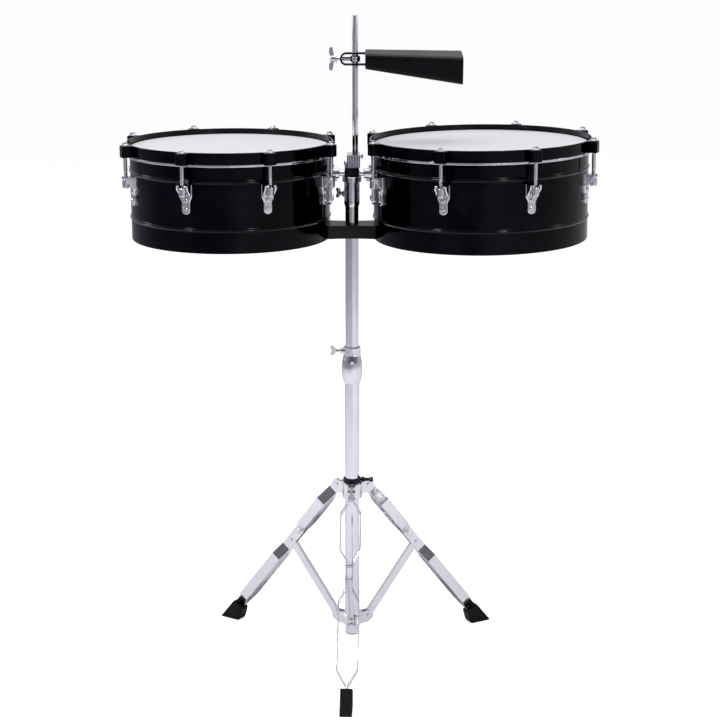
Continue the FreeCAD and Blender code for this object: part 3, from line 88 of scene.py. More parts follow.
SOFTENED = {                    # the rounding of each piece's edges, in millimetres
    "clamp_casting": 0.5, "rod_clamp_block": 0.35, "yoke": 0.5, "cross_rod": 0.3,
    "mount_sleeve": 0.25, "left_mount_bracket": 0.3, "right_mount_bracket": 0.3,
    "left_counterhoop": 0.4, "right_counterhoop": 0.4, "left_flesh_hoop": 0.35, "right_flesh_hoop": 0.35,
    "cowbell_strap": 0.3, "cowbell_eye_bolt": 0.3, "cowbell_wing_nut": 0.4,
    "height_collar": 0.3, "collar_bush": 0.25, "leg_hub": 0.35, "hub_ring": 0.25, "lower_bracket": 0.25,
    "leg_front_strips": 0.25, "leg_left_strips": 0.25, "leg_right_strips": 0.25,
    "strut_front": 0.25, "strut_left": 0.25, "strut_right": 0.25,
    "foot_front": 1.0, "foot_left": 1.0, "foot_right": 1.0,
}


# ------------------------------------------------------------------ properties
def size_of(name, value, text):
    """A length in metres that a user may change."""
    return bpy.props.FloatProperty(name=name, description=text, default=value,
                                   subtype="DISTANCE", unit="LENGTH", precision=5)


def colour_of(name, value, text):
    return bpy.props.FloatVectorProperty(name=name, description=text, default=value, size=3,
                                         subtype="COLOR", min=0.0, max=1.0)


def share_of(name, value, text):
    return bpy.props.FloatProperty(name=name, description=text, default=value,
                                   subtype="FACTOR", min=0.0, max=1.0)


class TimbalesFinishes(bpy.types.PropertyGroup):
    chrome: colour_of("Chrome", (0.78, 0.77, 0.82), "Bright plating on the tubes, legs and lugs")
    lacquer: colour_of("Lacquer", (0.003, 0.003, 0.004), "Gloss black on the shells and hoops")
    paint: colour_of("Paint", (0.009, 0.009, 0.010), "Satin black on the yoke and castings")
    bell: colour_of("Bell", (0.002, 0.002, 0.003), "Satin black coating of the cowbell")
    film: colour_of("Film", (0.68, 0.66, 0.69), "Coated white film of the drum heads")
    nylon: colour_of("Nylon", (0.007, 0.007, 0.008), "Moulded plugs and bushes")
    rubber: colour_of("Rubber", (0.005, 0.005, 0.005), "Moulded rubber feet")
    chrome_roughness: share_of("Chrome roughness", 0.07, "How blurred the plating's reflections are")
    lacquer_roughness: share_of("Lacquer roughness", 0.09, "How blurred the lacquer's reflections are")


class TimbalesDrums(bpy.types.PropertyGroup):
    shell_wall: size_of("Shell wall", 0.0012, "Thickness of a shell's sheet")
    bead_height: size_of("Bead height", 0.002, "How far a shell's rolled bead stands out")
    bead_half_width: size_of("Bead half width", 0.0036, "Half the width of a rolled bead")
    upper_bead_drop: size_of("Upper bead drop", 0.038, "Upper bead below the playing surface")
    lower_bead_rise: size_of("Lower bead rise", 0.0375, "Lower bead above the shell's open edge")
    hem_radius: size_of("Hem radius", 0.0016, "Radius of the rolled hem at the open edge")
    film_thickness: size_of("Film thickness", 0.0004, "Thickness of a drum head's film")
    head_collar: size_of("Head collar", 0.0025, "Radius at which the film turns down at the shell's edge")
    rod_radius: size_of("Rod radius", 0.0032, "Outside radius of a tension rod")
    rod_collar: size_of("Rod collar", 0.005, "Radius of the collar under a rod's square head")
    rod_reach: size_of("Rod reach", 0.015, "From the shell to a tension rod's axis")
    square_width: size_of("Square width", 0.0062, "Across the flats of a rod's square head")
    square_height: size_of("Square height", 0.0026, "Height of a rod's square head")
    square_dome: size_of("Square dome", 0.0008, "Rounding of the square head's upper edges")
    thread_pitch: size_of("Thread pitch", 0.0009, "From one thread crest to the next")
    thread_depth: size_of("Thread depth", 0.0004, "Depth of a rolled thread")
    bare_thread: size_of("Bare thread", 0.011, "Thread that shows above a barrel nut")
    bolt_gap: size_of("Bolt gap", 0.00005, "Radial clearance of a rod in its washer and nut")
    nut_round: size_of("Nut rounding", 0.0022, "Rounding of a barrel nut's ends")
    edge: size_of("Edge", 0.0005, "Softened edge of small pieces")
    lug_sink: size_of("Lug sink", 0.0006, "How far a lug's back follows into the round shell")
    lug_depth: size_of("Lug depth", 0.005, "How far a lug's body stands off the shell")
    lug_reach: size_of("Lug reach", 0.0205, "From the shell to the tips of a lug's claw")
    lug_top: size_of("Lug top", 0.022, "Width of a lug at its claw")
    lug_waist: size_of("Lug waist", 0.0136, "Width of a lug at its waist")
    lug_bottom: size_of("Lug bottom", 0.0146, "Width of a lug's round lower end")
    lug_shoulder_drop: size_of("Shoulder drop", 0.020, "From a lug's top down to its shoulder")
    lug_waist_drop: size_of("Waist drop", 0.0285, "From a lug's top down to its waist")
    lug_soft: size_of("Lug bends", 0.006, "Length over which a lug's outline bends")
    lug_round: size_of("Lug rounding", 0.0018, "Rounding of a lug's front edges")
    claw_width: size_of("Claw width", 0.020, "Width of a lug's forked claw")
    claw_thickness: size_of("Claw thickness", 0.003, "Thickness of the claw's plate")
    claw_gap: size_of("Claw gap", 0.0005, "Clearance of the rod in the claw's slot")
    claw_corner: size_of("Claw corner", 0.004, "Rounding of the claw's tips")
    cheek_wall: size_of("Cheek wall", 0.0026, "Thickness of the claw's two cheeks")
    cheek_inset: size_of("Cheek inset", 0.0025, "From the claw's tip back to the cheek")
    cheek_drop: size_of("Cheek drop", 0.007, "Height of a cheek's nose below the claw's top")
    round_steps: bpy.props.IntProperty(name="Round steps", description="Facets round a drum head",
                                       default=160, min=32, max=512)
    shell_steps: bpy.props.IntProperty(name="Shell steps", description="Facets round a shell",
                                       default=256, min=32, max=512)


class TimbalesHardware(bpy.types.PropertyGroup):
    stem_radius: size_of("Stem radius", 0.003, "Radius of a wing screw's stem")
    thread_pitch: size_of("Thread pitch", 0.001, "From one thread crest to the next")
    thread_depth: size_of("Thread depth", 0.0004, "Depth of a wing screw's thread")
    neck_length: size_of("Neck length", 0.008, "From a wing screw's boss to its wings")
    boss_radius: size_of("Boss radius", 0.005, "Radius of a wing screw's boss")
    boss_length: size_of("Boss length", 0.0035, "Length of a wing screw's boss")
    boss_slope: size_of("Boss slope", 0.002, "Length of the slope between boss and neck")
    wing_span: size_of("Wing span", 0.017, "Across a wing screw's two wings")
    wing_length: size_of("Wing length", 0.009, "Length of a wing screw's wings along its stem")
    wing_thickness: size_of("Wing thickness", 0.0034, "Thickness of the wings")
    wing_corner: size_of("Wing corner", 0.0019, "Rounding of the wings' outline")
    edge: size_of("Edge", 0.0005, "Softened edge of small pieces")
    bell_end_depth: size_of("Bell end depth", 0.054, "Across the cowbell's closed end")
    bell_end_rise: size_of("Bell end rise", 0.0122, "Closed end's top above the strap's middle")
    bell_end_fall: size_of("Bell end fall", 0.0136, "Closed end's bottom below the strap's middle")
    bell_mouth_depth: size_of("Bell mouth depth", 0.072, "Across the cowbell's mouth")
    bell_mouth_rise: size_of("Bell mouth rise", 0.0083, "Mouth's top above the strap's middle")
    bell_mouth_fall: size_of("Bell mouth fall", 0.0373, "Mouth's bottom below the strap's middle")
    bell_corner: size_of("Bell corner", 0.008, "Rounding of the cowbell's long edges")
    bell_end_round: size_of("Bell end rounding", 0.0022, "Rounding round the closed end")
    bell_wall: size_of("Bell wall", 0.0016, "Thickness of the cowbell's sheet")
    bell_roll: bpy.props.FloatProperty(name="Bell roll", description="Roll of the cowbell about its length",
                                       default=math.radians(6.0), subtype="ANGLE", unit="ROTATION")


# ------------------------------------------------------------------ node helpers
def put(tree, kind, x=0, y=0, **values):
    """Adds one node, with its fields and input sockets set by name."""
    made = tree.nodes.new(kind)
    made.location = (x, y)
    for key, value in values.items():
        if hasattr(made, key):
            setattr(made, key, value)
        else:
            made.inputs[key.replace("_", " ")].default_value = value
    return made


def join(tree, source, target):
    tree.links.new(source, target)


def new_group(name, inputs, outputs):
    """An empty shader group with float inputs and outputs, colours where the value is a tuple."""
    group = bpy.data.node_groups.new(name, "ShaderNodeTree")
    for direction, sockets in (("INPUT", inputs), ("OUTPUT", outputs)):
        for label, value in sockets.items():
            kind = "NodeSocketColor" if isinstance(value, tuple) else "NodeSocketFloat"
            socket = group.interface.new_socket(name=label, in_out=direction, socket_type=kind)
            if direction == "INPUT":
                socket.default_value = value
    return group, put(group, "NodeGroupInput", -900), put(group, "NodeGroupOutput", 900)


def maths(tree, operation, a, b=None, clamp=False):
    """One Math node; each of a and b is a socket or a number."""
    made = put(tree, "ShaderNodeMath", operation=operation, use_clamp=clamp)
    for index, value in enumerate((a, b)):
        if value is None:
            continue
        if isinstance(value, (int, float)):
            made.inputs[index].default_value = value
        else:
            join(tree, value, made.inputs[index])
    return made.outputs[0]


def noise(tree, vector, scale, detail=3.0, roughness=0.5, distortion=0.0):
    made = put(tree, "ShaderNodeTexNoise", Detail=detail, Roughness=roughness, Distortion=distortion)
    join(tree, vector, made.inputs["Vector"])
    if isinstance(scale, (int, float)):
        made.inputs["Scale"].default_value = scale
    else:
        join(tree, scale, made.inputs["Scale"])
    return made.outputs["Fac"]


def spread(tree, value, low, high):
    """Stretches the middle of a noise so that low goes to 0 and high to 1."""
    made = put(tree, "ShaderNodeMapRange", From_Min=low, From_Max=high, clamp=True)
    join(tree, value, made.inputs["Value"])
    return made.outputs["Result"]


def mix_colour(tree, factor, a, b):
    made = put(tree, "ShaderNodeMix", data_type="RGBA")
    join(tree, factor, made.inputs[0])
    for socket, value in ((made.inputs[6], a), (made.inputs[7], b)):
        if isinstance(value, tuple):
            socket.default_value = value
        else:
            join(tree, value, socket)
    return made.outputs[2]


def object_vector(tree, stretch=(1.0, 1.0, 1.0)):
    """Object coordinates, stretched along the axes for streaks."""
    place = put(tree, "ShaderNodeTexCoord", -700)
    mapping = put(tree, "ShaderNodeMapping", -500)
    mapping.inputs["Scale"].default_value = stretch
    join(tree, place.outputs["Object"], mapping.inputs["Vector"])
    return mapping.outputs["Vector"]


def handled_group():
    """Handling marks on a hard polished skin: smudges, wiping streaks, fine scratches and dust."""
    group, given, out = new_group(
        "handled_surface",
        {"Colour": (0.8, 0.8, 0.8, 1.0), "Marked Colour": (0.7, 0.7, 0.7, 1.0), "Roughness": 0.1,
         "Smudge": 0.05, "Smudge Size": 0.03, "Scratch": 0.02, "Ripple": 0.2, "Ripple Size": 0.01},
        {"Colour": (0.8, 0.8, 0.8, 1.0), "Roughness": 0.1, "Height": 0.0})
    flat = object_vector(group)
    per_smudge = maths(group, "DIVIDE", 1.0, given.outputs["Smudge Size"])
    patches = noise(group, flat, per_smudge, 5.0, 0.62, 0.4)
    patches = spread(group, patches, 0.42, 0.72)
    wipes = noise(group, object_vector(group, (60.0, 60.0, 5.0)), 3.0, 4.0, 0.7)
    wipes = spread(group, wipes, 0.45, 0.75)
    cross = noise(group, object_vector(group, (9.0, 200.0, 260.0)), 3.0, 2.0, 0.6)
    lines = spread(group, cross, 0.66, 0.70)
    dust = spread(group, noise(group, flat, 1400.0, 1.0), 0.74, 0.78)
    marked = maths(group, "MULTIPLY", patches, given.outputs["Smudge"])
    wiped = maths(group, "MULTIPLY", wipes, given.outputs["Scratch"])
    scratched = maths(group, "MULTIPLY", lines, given.outputs["Scratch"])
    rough = maths(group, "ADD", given.outputs["Roughness"], marked)
    rough = maths(group, "ADD", rough, wiped)
    rough = maths(group, "ADD", rough, scratched)
    rough = maths(group, "ADD", rough, maths(group, "MULTIPLY", dust, 0.15), True)
    per_ripple = maths(group, "DIVIDE", 1.0, given.outputs["Ripple Size"])
    waves = noise(group, flat, per_ripple, 2.0, 0.4)
    height = maths(group, "MULTIPLY", waves, given.outputs["Ripple"])
    height = maths(group, "SUBTRACT", height, maths(group, "MULTIPLY", scratched, 0.2))
    blend = maths(group, "MAXIMUM", maths(group, "MULTIPLY", patches, 0.7),
                  maths(group, "MULTIPLY", dust, 0.9))
    colour = mix_colour(group, blend, given.outputs["Colour"], given.outputs["Marked Colour"])
    join(group, colour, out.inputs["Colour"])
    join(group, rough, out.inputs["Roughness"])
    join(group, height, out.inputs["Height"])
    return group


def moulded_group():
    """A moulded or coated skin: fine grain, broad unevenness, rubbed patches and settled dust."""
    group, given, out = new_group(
        "moulded_surface",
        {"Colour": (0.02, 0.02, 0.02, 1.0), "Rubbed Colour": (0.06, 0.06, 0.06, 1.0), "Roughness": 0.5,
         "Unevenness": 0.1, "Grain Size": 0.001, "Patch Size": 0.02, "Rub": 0.4},
        {"Colour": (0.02, 0.02, 0.02, 1.0), "Roughness": 0.5, "Height": 0.0})
    flat = object_vector(group)
    grain = noise(group, flat, maths(group, "DIVIDE", 1.0, given.outputs["Grain Size"]), 3.0, 0.6)
    patch = noise(group, flat, maths(group, "DIVIDE", 1.0, given.outputs["Patch Size"]), 6.0, 0.65, 0.5)
    rubbed = maths(group, "MULTIPLY", spread(group, patch, 0.45, 0.75), given.outputs["Rub"])
    speck = spread(group, noise(group, flat, 1100.0, 1.0), 0.72, 0.77)
    blend = maths(group, "MAXIMUM", rubbed, maths(group, "MULTIPLY", speck, given.outputs["Rub"]))
    colour = mix_colour(group, blend, given.outputs["Colour"], given.outputs["Rubbed Colour"])
    uneven = maths(group, "MULTIPLY", maths(group, "SUBTRACT", patch, 0.5), given.outputs["Unevenness"])
    fine = maths(group, "MULTIPLY", maths(group, "SUBTRACT", grain, 0.5), given.outputs["Unevenness"])
    rough = maths(group, "ADD", given.outputs["Roughness"], maths(group, "ADD", uneven, fine), True)
    height = maths(group, "ADD", grain, maths(group, "MULTIPLY", patch, 0.4))
    join(group, colour, out.inputs["Colour"])
    join(group, rough, out.inputs["Roughness"])
    join(group, height, out.inputs["Height"])
    return group


def finish(name, group, values, bump, distance, **shader):
    """A Principled material whose colour, roughness and relief come from one group."""
    material = bpy.data.materials.new(name)
    material.use_nodes = True
    tree = material.node_tree
    tree.nodes.clear()
    skin = put(tree, "ShaderNodeGroup", -500, node_tree=group)
    for label, value in values.items():
        skin.inputs[label].default_value = value
    relief = put(tree, "ShaderNodeBump", -200, -300, Strength=bump, Distance=distance)
    surface = put(tree, "ShaderNodeBsdfPrincipled", 100)
    for label, value in shader.items():
        surface.inputs[label.replace("_", " ")].default_value = value
    output = put(tree, "ShaderNodeOutputMaterial", 500)
    join(tree, skin.outputs["Colour"], surface.inputs["Base Color"])
    join(tree, skin.outputs["Roughness"], surface.inputs["Roughness"])
    join(tree, skin.outputs["Height"], relief.inputs["Height"])
    join(tree, relief.outputs["Normal"], surface.inputs["Normal"])
    join(tree, surface.outputs["BSDF"], output.inputs["Surface"])
    return material


def opaque(colour, gain=1.0):
    return tuple(min(1.0, c * gain) for c in colour) + (1.0,)


def paint_node(name, material):
    """Puts a material on a CAD node."""
    slots = nodes[name].data.materials
    if len(slots):
        for index in range(len(slots)):
            slots[index] = material
    else:
        slots.append(material)


class TIMBALES_OT_finishes(bpy.types.Operator):
    """Makes the finishes and puts them on the CAD nodes"""
    bl_idname = "timbales.finishes"
    bl_label = "Finishes"

    def execute(self, context):
        looks = context.scene.timbales_finishes
        for plain in list(bpy.data.materials):
            bpy.data.materials.remove(plain)
        handled = handled_group()
        moulded = moulded_group()
        plate = {"Colour": opaque(looks.chrome), "Marked Colour": opaque(looks.chrome, 0.90),
                 "Roughness": looks.chrome_roughness, "Smudge": 0.07, "Smudge Size": 0.035,
                 "Scratch": 0.05, "Ripple": 0.5, "Ripple Size": 0.02}
        made = {
            "tube_chrome": finish("tube_chrome", handled, plate, 0.25, 0.0004, Metallic=1.0),
            "strip_chrome": finish("strip_chrome", handled, plate | {"Roughness": 0.12, "Ripple Size": 0.008},
                                   0.35, 0.0005, Metallic=1.0),
            "cast_chrome": finish("cast_chrome", handled, plate | {"Roughness": 0.10, "Ripple": 1.0,
                                  "Ripple Size": 0.006}, 0.5, 0.0006, Metallic=1.0),
            "screw_chrome": finish("screw_chrome", handled, plate | {"Roughness": 0.13, "Smudge Size": 0.008},
                                   0.3, 0.0003, Metallic=1.0),
            "lug_chrome": finish("lug_chrome", handled, plate | {"Roughness": 0.09, "Ripple": 1.0,
                                 "Ripple Size": 0.007, "Smudge Size": 0.012}, 0.5, 0.0005, Metallic=1.0),
            "black_lacquer": finish("black_lacquer", handled, {
                "Colour": opaque(looks.lacquer), "Marked Colour": opaque(looks.lacquer, 2.2),
                "Roughness": looks.lacquer_roughness, "Smudge": 0.05, "Smudge Size": 0.05,
                "Scratch": 0.05, "Ripple": 1.0, "Ripple Size": 0.004}, 0.05, 0.0004, Specular_IOR_Level=0.18),
            "black_paint": finish("black_paint", moulded, {
                "Colour": opaque(looks.paint), "Rubbed Colour": opaque(looks.paint, 2.6), "Roughness": 0.38,
                "Unevenness": 0.16, "Grain Size": 0.0009, "Patch Size": 0.02, "Rub": 0.4}, 0.35, 0.0003,
                Specular_IOR_Level=0.24),
            "bell_black": finish("bell_black", moulded, {
                "Colour": opaque(looks.bell), "Rubbed Colour": opaque(looks.bell, 2.4), "Roughness": 0.33,
                "Unevenness": 0.12, "Grain Size": 0.0012, "Patch Size": 0.04, "Rub": 0.3}, 0.25, 0.0003,
                Specular_IOR_Level=0.25),
            "head_film": finish("head_film", moulded, {
                "Colour": opaque(looks.film), "Rubbed Colour": opaque(looks.film, 0.93), "Roughness": 0.52,
                "Unevenness": 0.12, "Grain Size": 0.0008, "Patch Size": 0.05, "Rub": 0.35}, 0.4, 0.0002),
            "black_nylon": finish("black_nylon", moulded, {
                "Colour": opaque(looks.nylon), "Rubbed Colour": opaque(looks.nylon, 3.0), "Roughness": 0.42,
                "Unevenness": 0.15, "Grain Size": 0.0006, "Patch Size": 0.012, "Rub": 0.4}, 0.3, 0.0002,
                Specular_IOR_Level=0.25),
            "boot_rubber": finish("boot_rubber", moulded, {
                "Colour": opaque(looks.rubber), "Rubbed Colour": opaque(looks.rubber, 3.2), "Roughness": 0.62,
                "Unevenness": 0.18, "Grain Size": 0.0008, "Patch Size": 0.015, "Rub": 0.5}, 0.5, 0.0004,
                Specular_IOR_Level=0.2),
        }
        for part in frame["record"]["subparts"]:
            paint_node(part["node"], made[part["material_slot"]])
        return {"FINISHED"}


# ------------------------------------------------------------------ mesh helpers
def lathe(points, steps, closed=False):
    """Spins a line of (radius, height) points round Z."""
    shape = bmesh.new()
    line = [shape.verts.new((r, 0.0, z)) for r, z in points]
    ends = line + line[:1] if closed else line
    edges = [shape.edges.new(pair) for pair in zip(ends, ends[1:])]
    bmesh.ops.spin(shape, geom=line + edges, cent=(0.0, 0.0, 0.0), axis=(0.0, 0.0, 1.0),
                   dvec=(0.0, 0.0, 0.0), angle=2.0 * math.pi, steps=steps, use_merge=True)
    tidy(shape)
    return shape


def slab(corners, along):
    """A flat outline of corners given a thickness."""
    shape = bmesh.new()
    face = shape.faces.new([shape.verts.new(c) for c in corners])
    made = bmesh.ops.extrude_face_region(shape, geom=[face])["geom"]
    moved = [v for v in made if isinstance(v, bmesh.types.BMVert)]
    bmesh.ops.translate(shape, verts=moved, vec=along)
    tidy(shape)
    return shape


def tidy(shape):
    bmesh.ops.remove_doubles(shape, verts=shape.verts, dist=WELD)
    bmesh.ops.recalc_face_normals(shape, faces=shape.faces)


def round_edges(shape, edges, width, segments):
    bmesh.ops.bevel(shape, geom=edges, offset=width, offset_type="OFFSET", affect="EDGES",
                    segments=segments, profile=0.5, material=-1, clamp_overlap=False)


def sharp_edges(shape, angle=35.0):
    return [e for e in shape.edges
            if len(e.link_faces) == 2 and e.calc_face_angle(0.0) > math.radians(angle)]


def edges_where(shape, test):
    """The edges whose middle and direction pass a test."""
    return [e for e in shape.edges
            if test((e.verts[0].co + e.verts[1].co) / 2, (e.verts[1].co - e.verts[0].co).normalized())]


def add_copy(target, part, place):
    """Adds a part to a larger shape, moved by a matrix."""
    moved = part.copy()
    moved.transform(place)
    mesh = bpy.data.meshes.new("part")
    moved.to_mesh(mesh)
    moved.free()
    target.from_mesh(mesh)
    bpy.data.meshes.remove(mesh)


def merged_copy(name):
    """A node's surface with its loose triangles joined and its flat faces made whole."""
    shape = bmesh.new()
    shape.from_mesh(nodes[name].data)
    bmesh.ops.remove_doubles(shape, verts=shape.verts, dist=WELD)
    bmesh.ops.dissolve_limit(shape, angle_limit=math.radians(1.0), use_dissolve_boundaries=False,
                             verts=shape.verts, edges=shape.edges, delimit={"NORMAL"})
    return shape


def make_piece(name, shape, body, slot, replaced, smooth_below=40.0):
    """Turns a shape into a finished piece that rides on a body and stands for CAD nodes."""
    mesh = bpy.data.meshes.new(name)
    shape.normal_update()
    for face in shape.faces:
        face.smooth = True
    for edge in shape.edges:
        edge.smooth = edge.calc_face_angle(0.0) < math.radians(smooth_below)
    shape.to_mesh(mesh)
    shape.free()
    mesh.materials.append(bpy.data.materials[slot])
    made = bpy.data.objects.new(name, mesh)
    bpy.context.scene.collection.objects.link(made)
    weigh = made.modifiers.new("weighted_normal", "WEIGHTED_NORMAL")
    weigh.keep_sharp = True
    weigh.weight = 90
    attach(made, body)
    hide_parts(*replaced)
    return made


def facts_of(name):
    """The body and the material slot of a CAD node."""
    slot = next(p["material_slot"] for p in frame["record"]["subparts"] if p["node"] == name)
    body = next(b for b, members in frame["record"]["behaviour"]["bodies"].items() if name in members)
    return body, slot


def frame_of(origin, out, up):
    """A matrix whose X is out, whose Z is near up, and whose origin is given."""
    x = Vector(out).normalized()
    y = Vector(up).cross(x).normalized()
    z = x.cross(y)
    placed = Matrix((x, y, z)).transposed().to_4x4()
    placed.translation = origin
    return placed


def drum_place(side):
    """The drum's own frame: the middle of its playing surface, Z up its axis, X away from the post."""
    film = nodes[side + "_head_film"].data
    top = [f for f in film.polygons if f.normal.z > 0.99]
    whole = sum(f.area for f in top)
    up = sum((f.normal * f.area for f in top), Vector()).normalized()
    middle = sum((f.center * f.area for f in top), Vector()) / whole
    out = Vector((1.0, 0.0, 0.0)) * (1.0 if middle.x > 0.0 else -1.0)
    out = (out - up * out.dot(up)).normalized()
    return frame_of(middle, out, up)


def solids_round(name, place):
    """(angle, lowest corner, highest corner) of each separate solid, turned onto the frame's X axis."""
    shape = bmesh.new()
    shape.from_mesh(nodes[name].data)
    bmesh.ops.remove_doubles(shape, verts=shape.verts, dist=WELD)
    shape.transform(place.inverted())
    left = set(shape.verts)
    found = []
    while left:
        group = [left.pop()]
        for vertex in group:
            for edge in vertex.link_edges:
                other = edge.other_vert(vertex)
                if other in left:
                    left.remove(other)
                    group.append(other)
        rough = corners([v.co for v in group])
        middle = (rough[0] + rough[1]) / 2
        angle = math.atan2(middle.y, middle.x)
        turn = Matrix.Rotation(-angle, 3, "Z")
        found.append((angle,) + corners([turn @ v.co for v in group]))
    shape.free()
    return sorted(found, key=lambda solid: solid[0])


def corners(points):
    return (Vector([min(p[i] for p in points) for i in range(3)]),
            Vector([max(p[i] for p in points) for i in range(3)]))


# ------------------------------------------------------------------ drum pieces
class TIMBALES_OT_shells(bpy.types.Operator):
    """Makes the two shells with smooth rolled beads and a round hem"""
    bl_idname = "timbales.shells"
    bl_label = "Shells"

    def execute(self, context):
        sizes = context.scene.timbales_drums
        for side in SIDES:
            node = side + "_shell"
            place = drum_place(side)
            back = place.inverted()
            points = [back @ v.co for v in nodes[node].data.vertices]
            low = min(p.z for p in points)
            high = max(p.z for p in points)
            radius = max(p.xy.length for p in points if p.z > high - WELD)
            beads = (low + sizes.lower_bead_rise, -sizes.upper_bead_drop)
            hem = sizes.hem_radius
            outer = self.wall(radius, beads, low + hem, high, sizes)
            meet = math.acos(1.0 - sizes.shell_wall / hem)
            inner_low = low + hem * (1.0 + math.sin(meet))
            inner = self.wall(radius - sizes.shell_wall, beads, inner_low, high, sizes)
            turns = [meet + (2.0 * math.pi - meet) * step / HEM_STEPS for step in range(1, HEM_STEPS)]
            rolled = [(radius - hem + hem * math.cos(a), low + hem + hem * math.sin(a)) for a in turns]
            shell = lathe(outer + list(reversed(inner)) + rolled, sizes.shell_steps, True)
            shell.transform(place)
            body, slot = facts_of(node)
            make_piece(node + "_rolled", shell, body, slot, [node], 50.0)
        return {"FINISHED"}

    def wall(self, radius, beads, low, high, sizes):
        """The wall's line from low to high, bowed out softly at each bead."""
        points = [(radius, low)]
        for bead in beads:
            for step in range(-BEAD_STEPS, BEAD_STEPS + 1):
                share = step / BEAD_STEPS
                bow = sizes.bead_height * (1.0 + math.cos(math.pi * share)) / 2
                points.append((radius + bow, bead + sizes.bead_half_width * share))
        return points + [(radius, high)]


class TIMBALES_OT_heads(bpy.types.Operator):
    """Makes the two drum heads with their rounded collars"""
    bl_idname = "timbales.heads"
    bl_label = "Heads"

    def execute(self, context):
        sizes = context.scene.timbales_drums
        for side in SIDES:
            node = side + "_head_film"
            place = drum_place(side)
            low, high = solids_round(node, place)[0][1:]
            rim = (high.y - low.y) / 2
            wall = sizes.film_thickness
            bend = sizes.head_collar
            arc = [math.radians(a) for a in range(0, 91, 15)]
            outer = [(rim - bend + bend * math.sin(a), -bend + bend * math.cos(a)) for a in arc]
            inner = [(rim - bend + (bend - wall) * math.sin(a), -bend + (bend - wall) * math.cos(a))
                     for a in reversed(arc)]
            rings = [(rim * share, 0.0) for share in (0.0, 0.3, 0.6, 0.85)]
            under = [(r, -wall) for r, _ in reversed(rings)]
            foot = [(rim, low.z), (rim - wall, low.z)]
            head = lathe(rings + outer + foot + inner + under, sizes.round_steps)
            head.transform(place)
            body, slot = facts_of(node)
            make_piece(node + "_skin", head, body, slot, [node])
        return {"FINISHED"}


def threaded_rod(sizes, radius, tip, top, thread_top):
    """A plain rod whose lower end carries a rolled thread."""
    crest = radius
    root = radius - sizes.thread_depth
    points = [(0.0, tip), (root - sizes.thread_depth, tip)]
    level = tip + sizes.thread_pitch
    while level < thread_top:
        points += [(root, level), (crest, level + sizes.thread_pitch / 2)]
        level += sizes.thread_pitch
    points += [(root, level), (crest, level + sizes.thread_pitch), (crest, top), (0.0, top)]
    return lathe(points, 24)


class TIMBALES_OT_rods(bpy.types.Operator):
    """Makes the threaded tension rods with square heads, their washers and their barrel nuts"""
    bl_idname = "timbales.rods"
    bl_label = "Tension rods"

    def execute(self, context):
        sizes = context.scene.timbales_drums
        for side in SIDES:
            place = drum_place(side)
            washers = solids_round(side + "_rod_washers", place)
            low, high = washers[0][1:]
            across = (low.x + high.x) / 2
            washer_top = high.z
            rod_low, rod_high = solids_round(side + "_tension_rods", place)[0][1:]
            nut_low, nut_high = solids_round(side + "_swivel_nuts", place)[0][1:]
            self.rods(side, place, washers, across, washer_top, rod_low.z, rod_high.z, nut_high.z, sizes)
            self.washers(side, place, washers, across, low, high, sizes)
            self.nuts(side, place, washers, across, nut_low, nut_high, sizes)
        return {"FINISHED"}

    def rods(self, side, place, washers, across, washer_top, tip, top, nut_top, sizes):
        square = top - sizes.square_height
        rod = threaded_rod(sizes, sizes.rod_radius, tip, square, nut_top + sizes.bare_thread)
        collar = lathe([(0.0, washer_top), (sizes.rod_collar, washer_top),
                        (sizes.rod_collar, square - sizes.edge), (sizes.rod_collar - sizes.edge, square),
                        (0.0, square)], 24)
        head = bmesh.new()
        bmesh.ops.create_cube(head, size=1.0)
        bmesh.ops.scale(head, vec=(sizes.square_width, sizes.square_width, sizes.square_height),
                        verts=head.verts)
        bmesh.ops.translate(head, vec=(0.0, 0.0, top - sizes.square_height / 2), verts=head.verts)
        upper = edges_where(head, lambda middle, way: middle.z > top - WELD)
        round_edges(head, upper, sizes.square_dome, 3)
        round_edges(head, edges_where(head, lambda middle, way: abs(way.z) > 0.9), sizes.edge, 2)
        one = bmesh.new()
        for part in (rod, collar, head):
            add_copy(one, part, Matrix.Identity(4))
            part.free()
        self.all_round(side + "_tension_rods", one, place, washers, across)

    def washers(self, side, place, washers, across, low, high, sizes):
        outer = (high.y - low.y) / 2
        edge = sizes.edge / 2
        bore = sizes.rod_radius + sizes.bolt_gap
        ring = lathe([(bore, low.z), (outer - edge, low.z), (outer, low.z + edge), (outer, high.z - edge),
                      (outer - edge, high.z), (bore, high.z)], 32, True)
        self.all_round(side + "_rod_washers", ring, place, washers, across)

    def nuts(self, side, place, washers, across, low, high, sizes):
        outer = (high.y - low.y) / 2
        bore = sizes.rod_radius + sizes.bolt_gap
        nut = lathe([(bore, low.z), (outer, low.z), (outer, high.z), (bore, high.z)], 32, True)
        ends = edges_where(nut, lambda middle, way: middle.xy.length > outer * 0.95 and abs(way.z) < 0.1)
        round_edges(nut, ends, sizes.nut_round, 5)
        self.all_round(side + "_swivel_nuts", nut, place, washers, across)

    def all_round(self, node, part, place, washers, across):
        """One part at every rod's place round the drum."""
        whole = bmesh.new()
        reach = Matrix.Translation((across, 0.0, 0.0))
        for angle, _, _ in washers:
            add_copy(whole, part, place @ Matrix.Rotation(angle, 4, "Z") @ reach)
        part.free()
        body, slot = facts_of(node)
        make_piece(node + "_fine", whole, body, slot, [node])


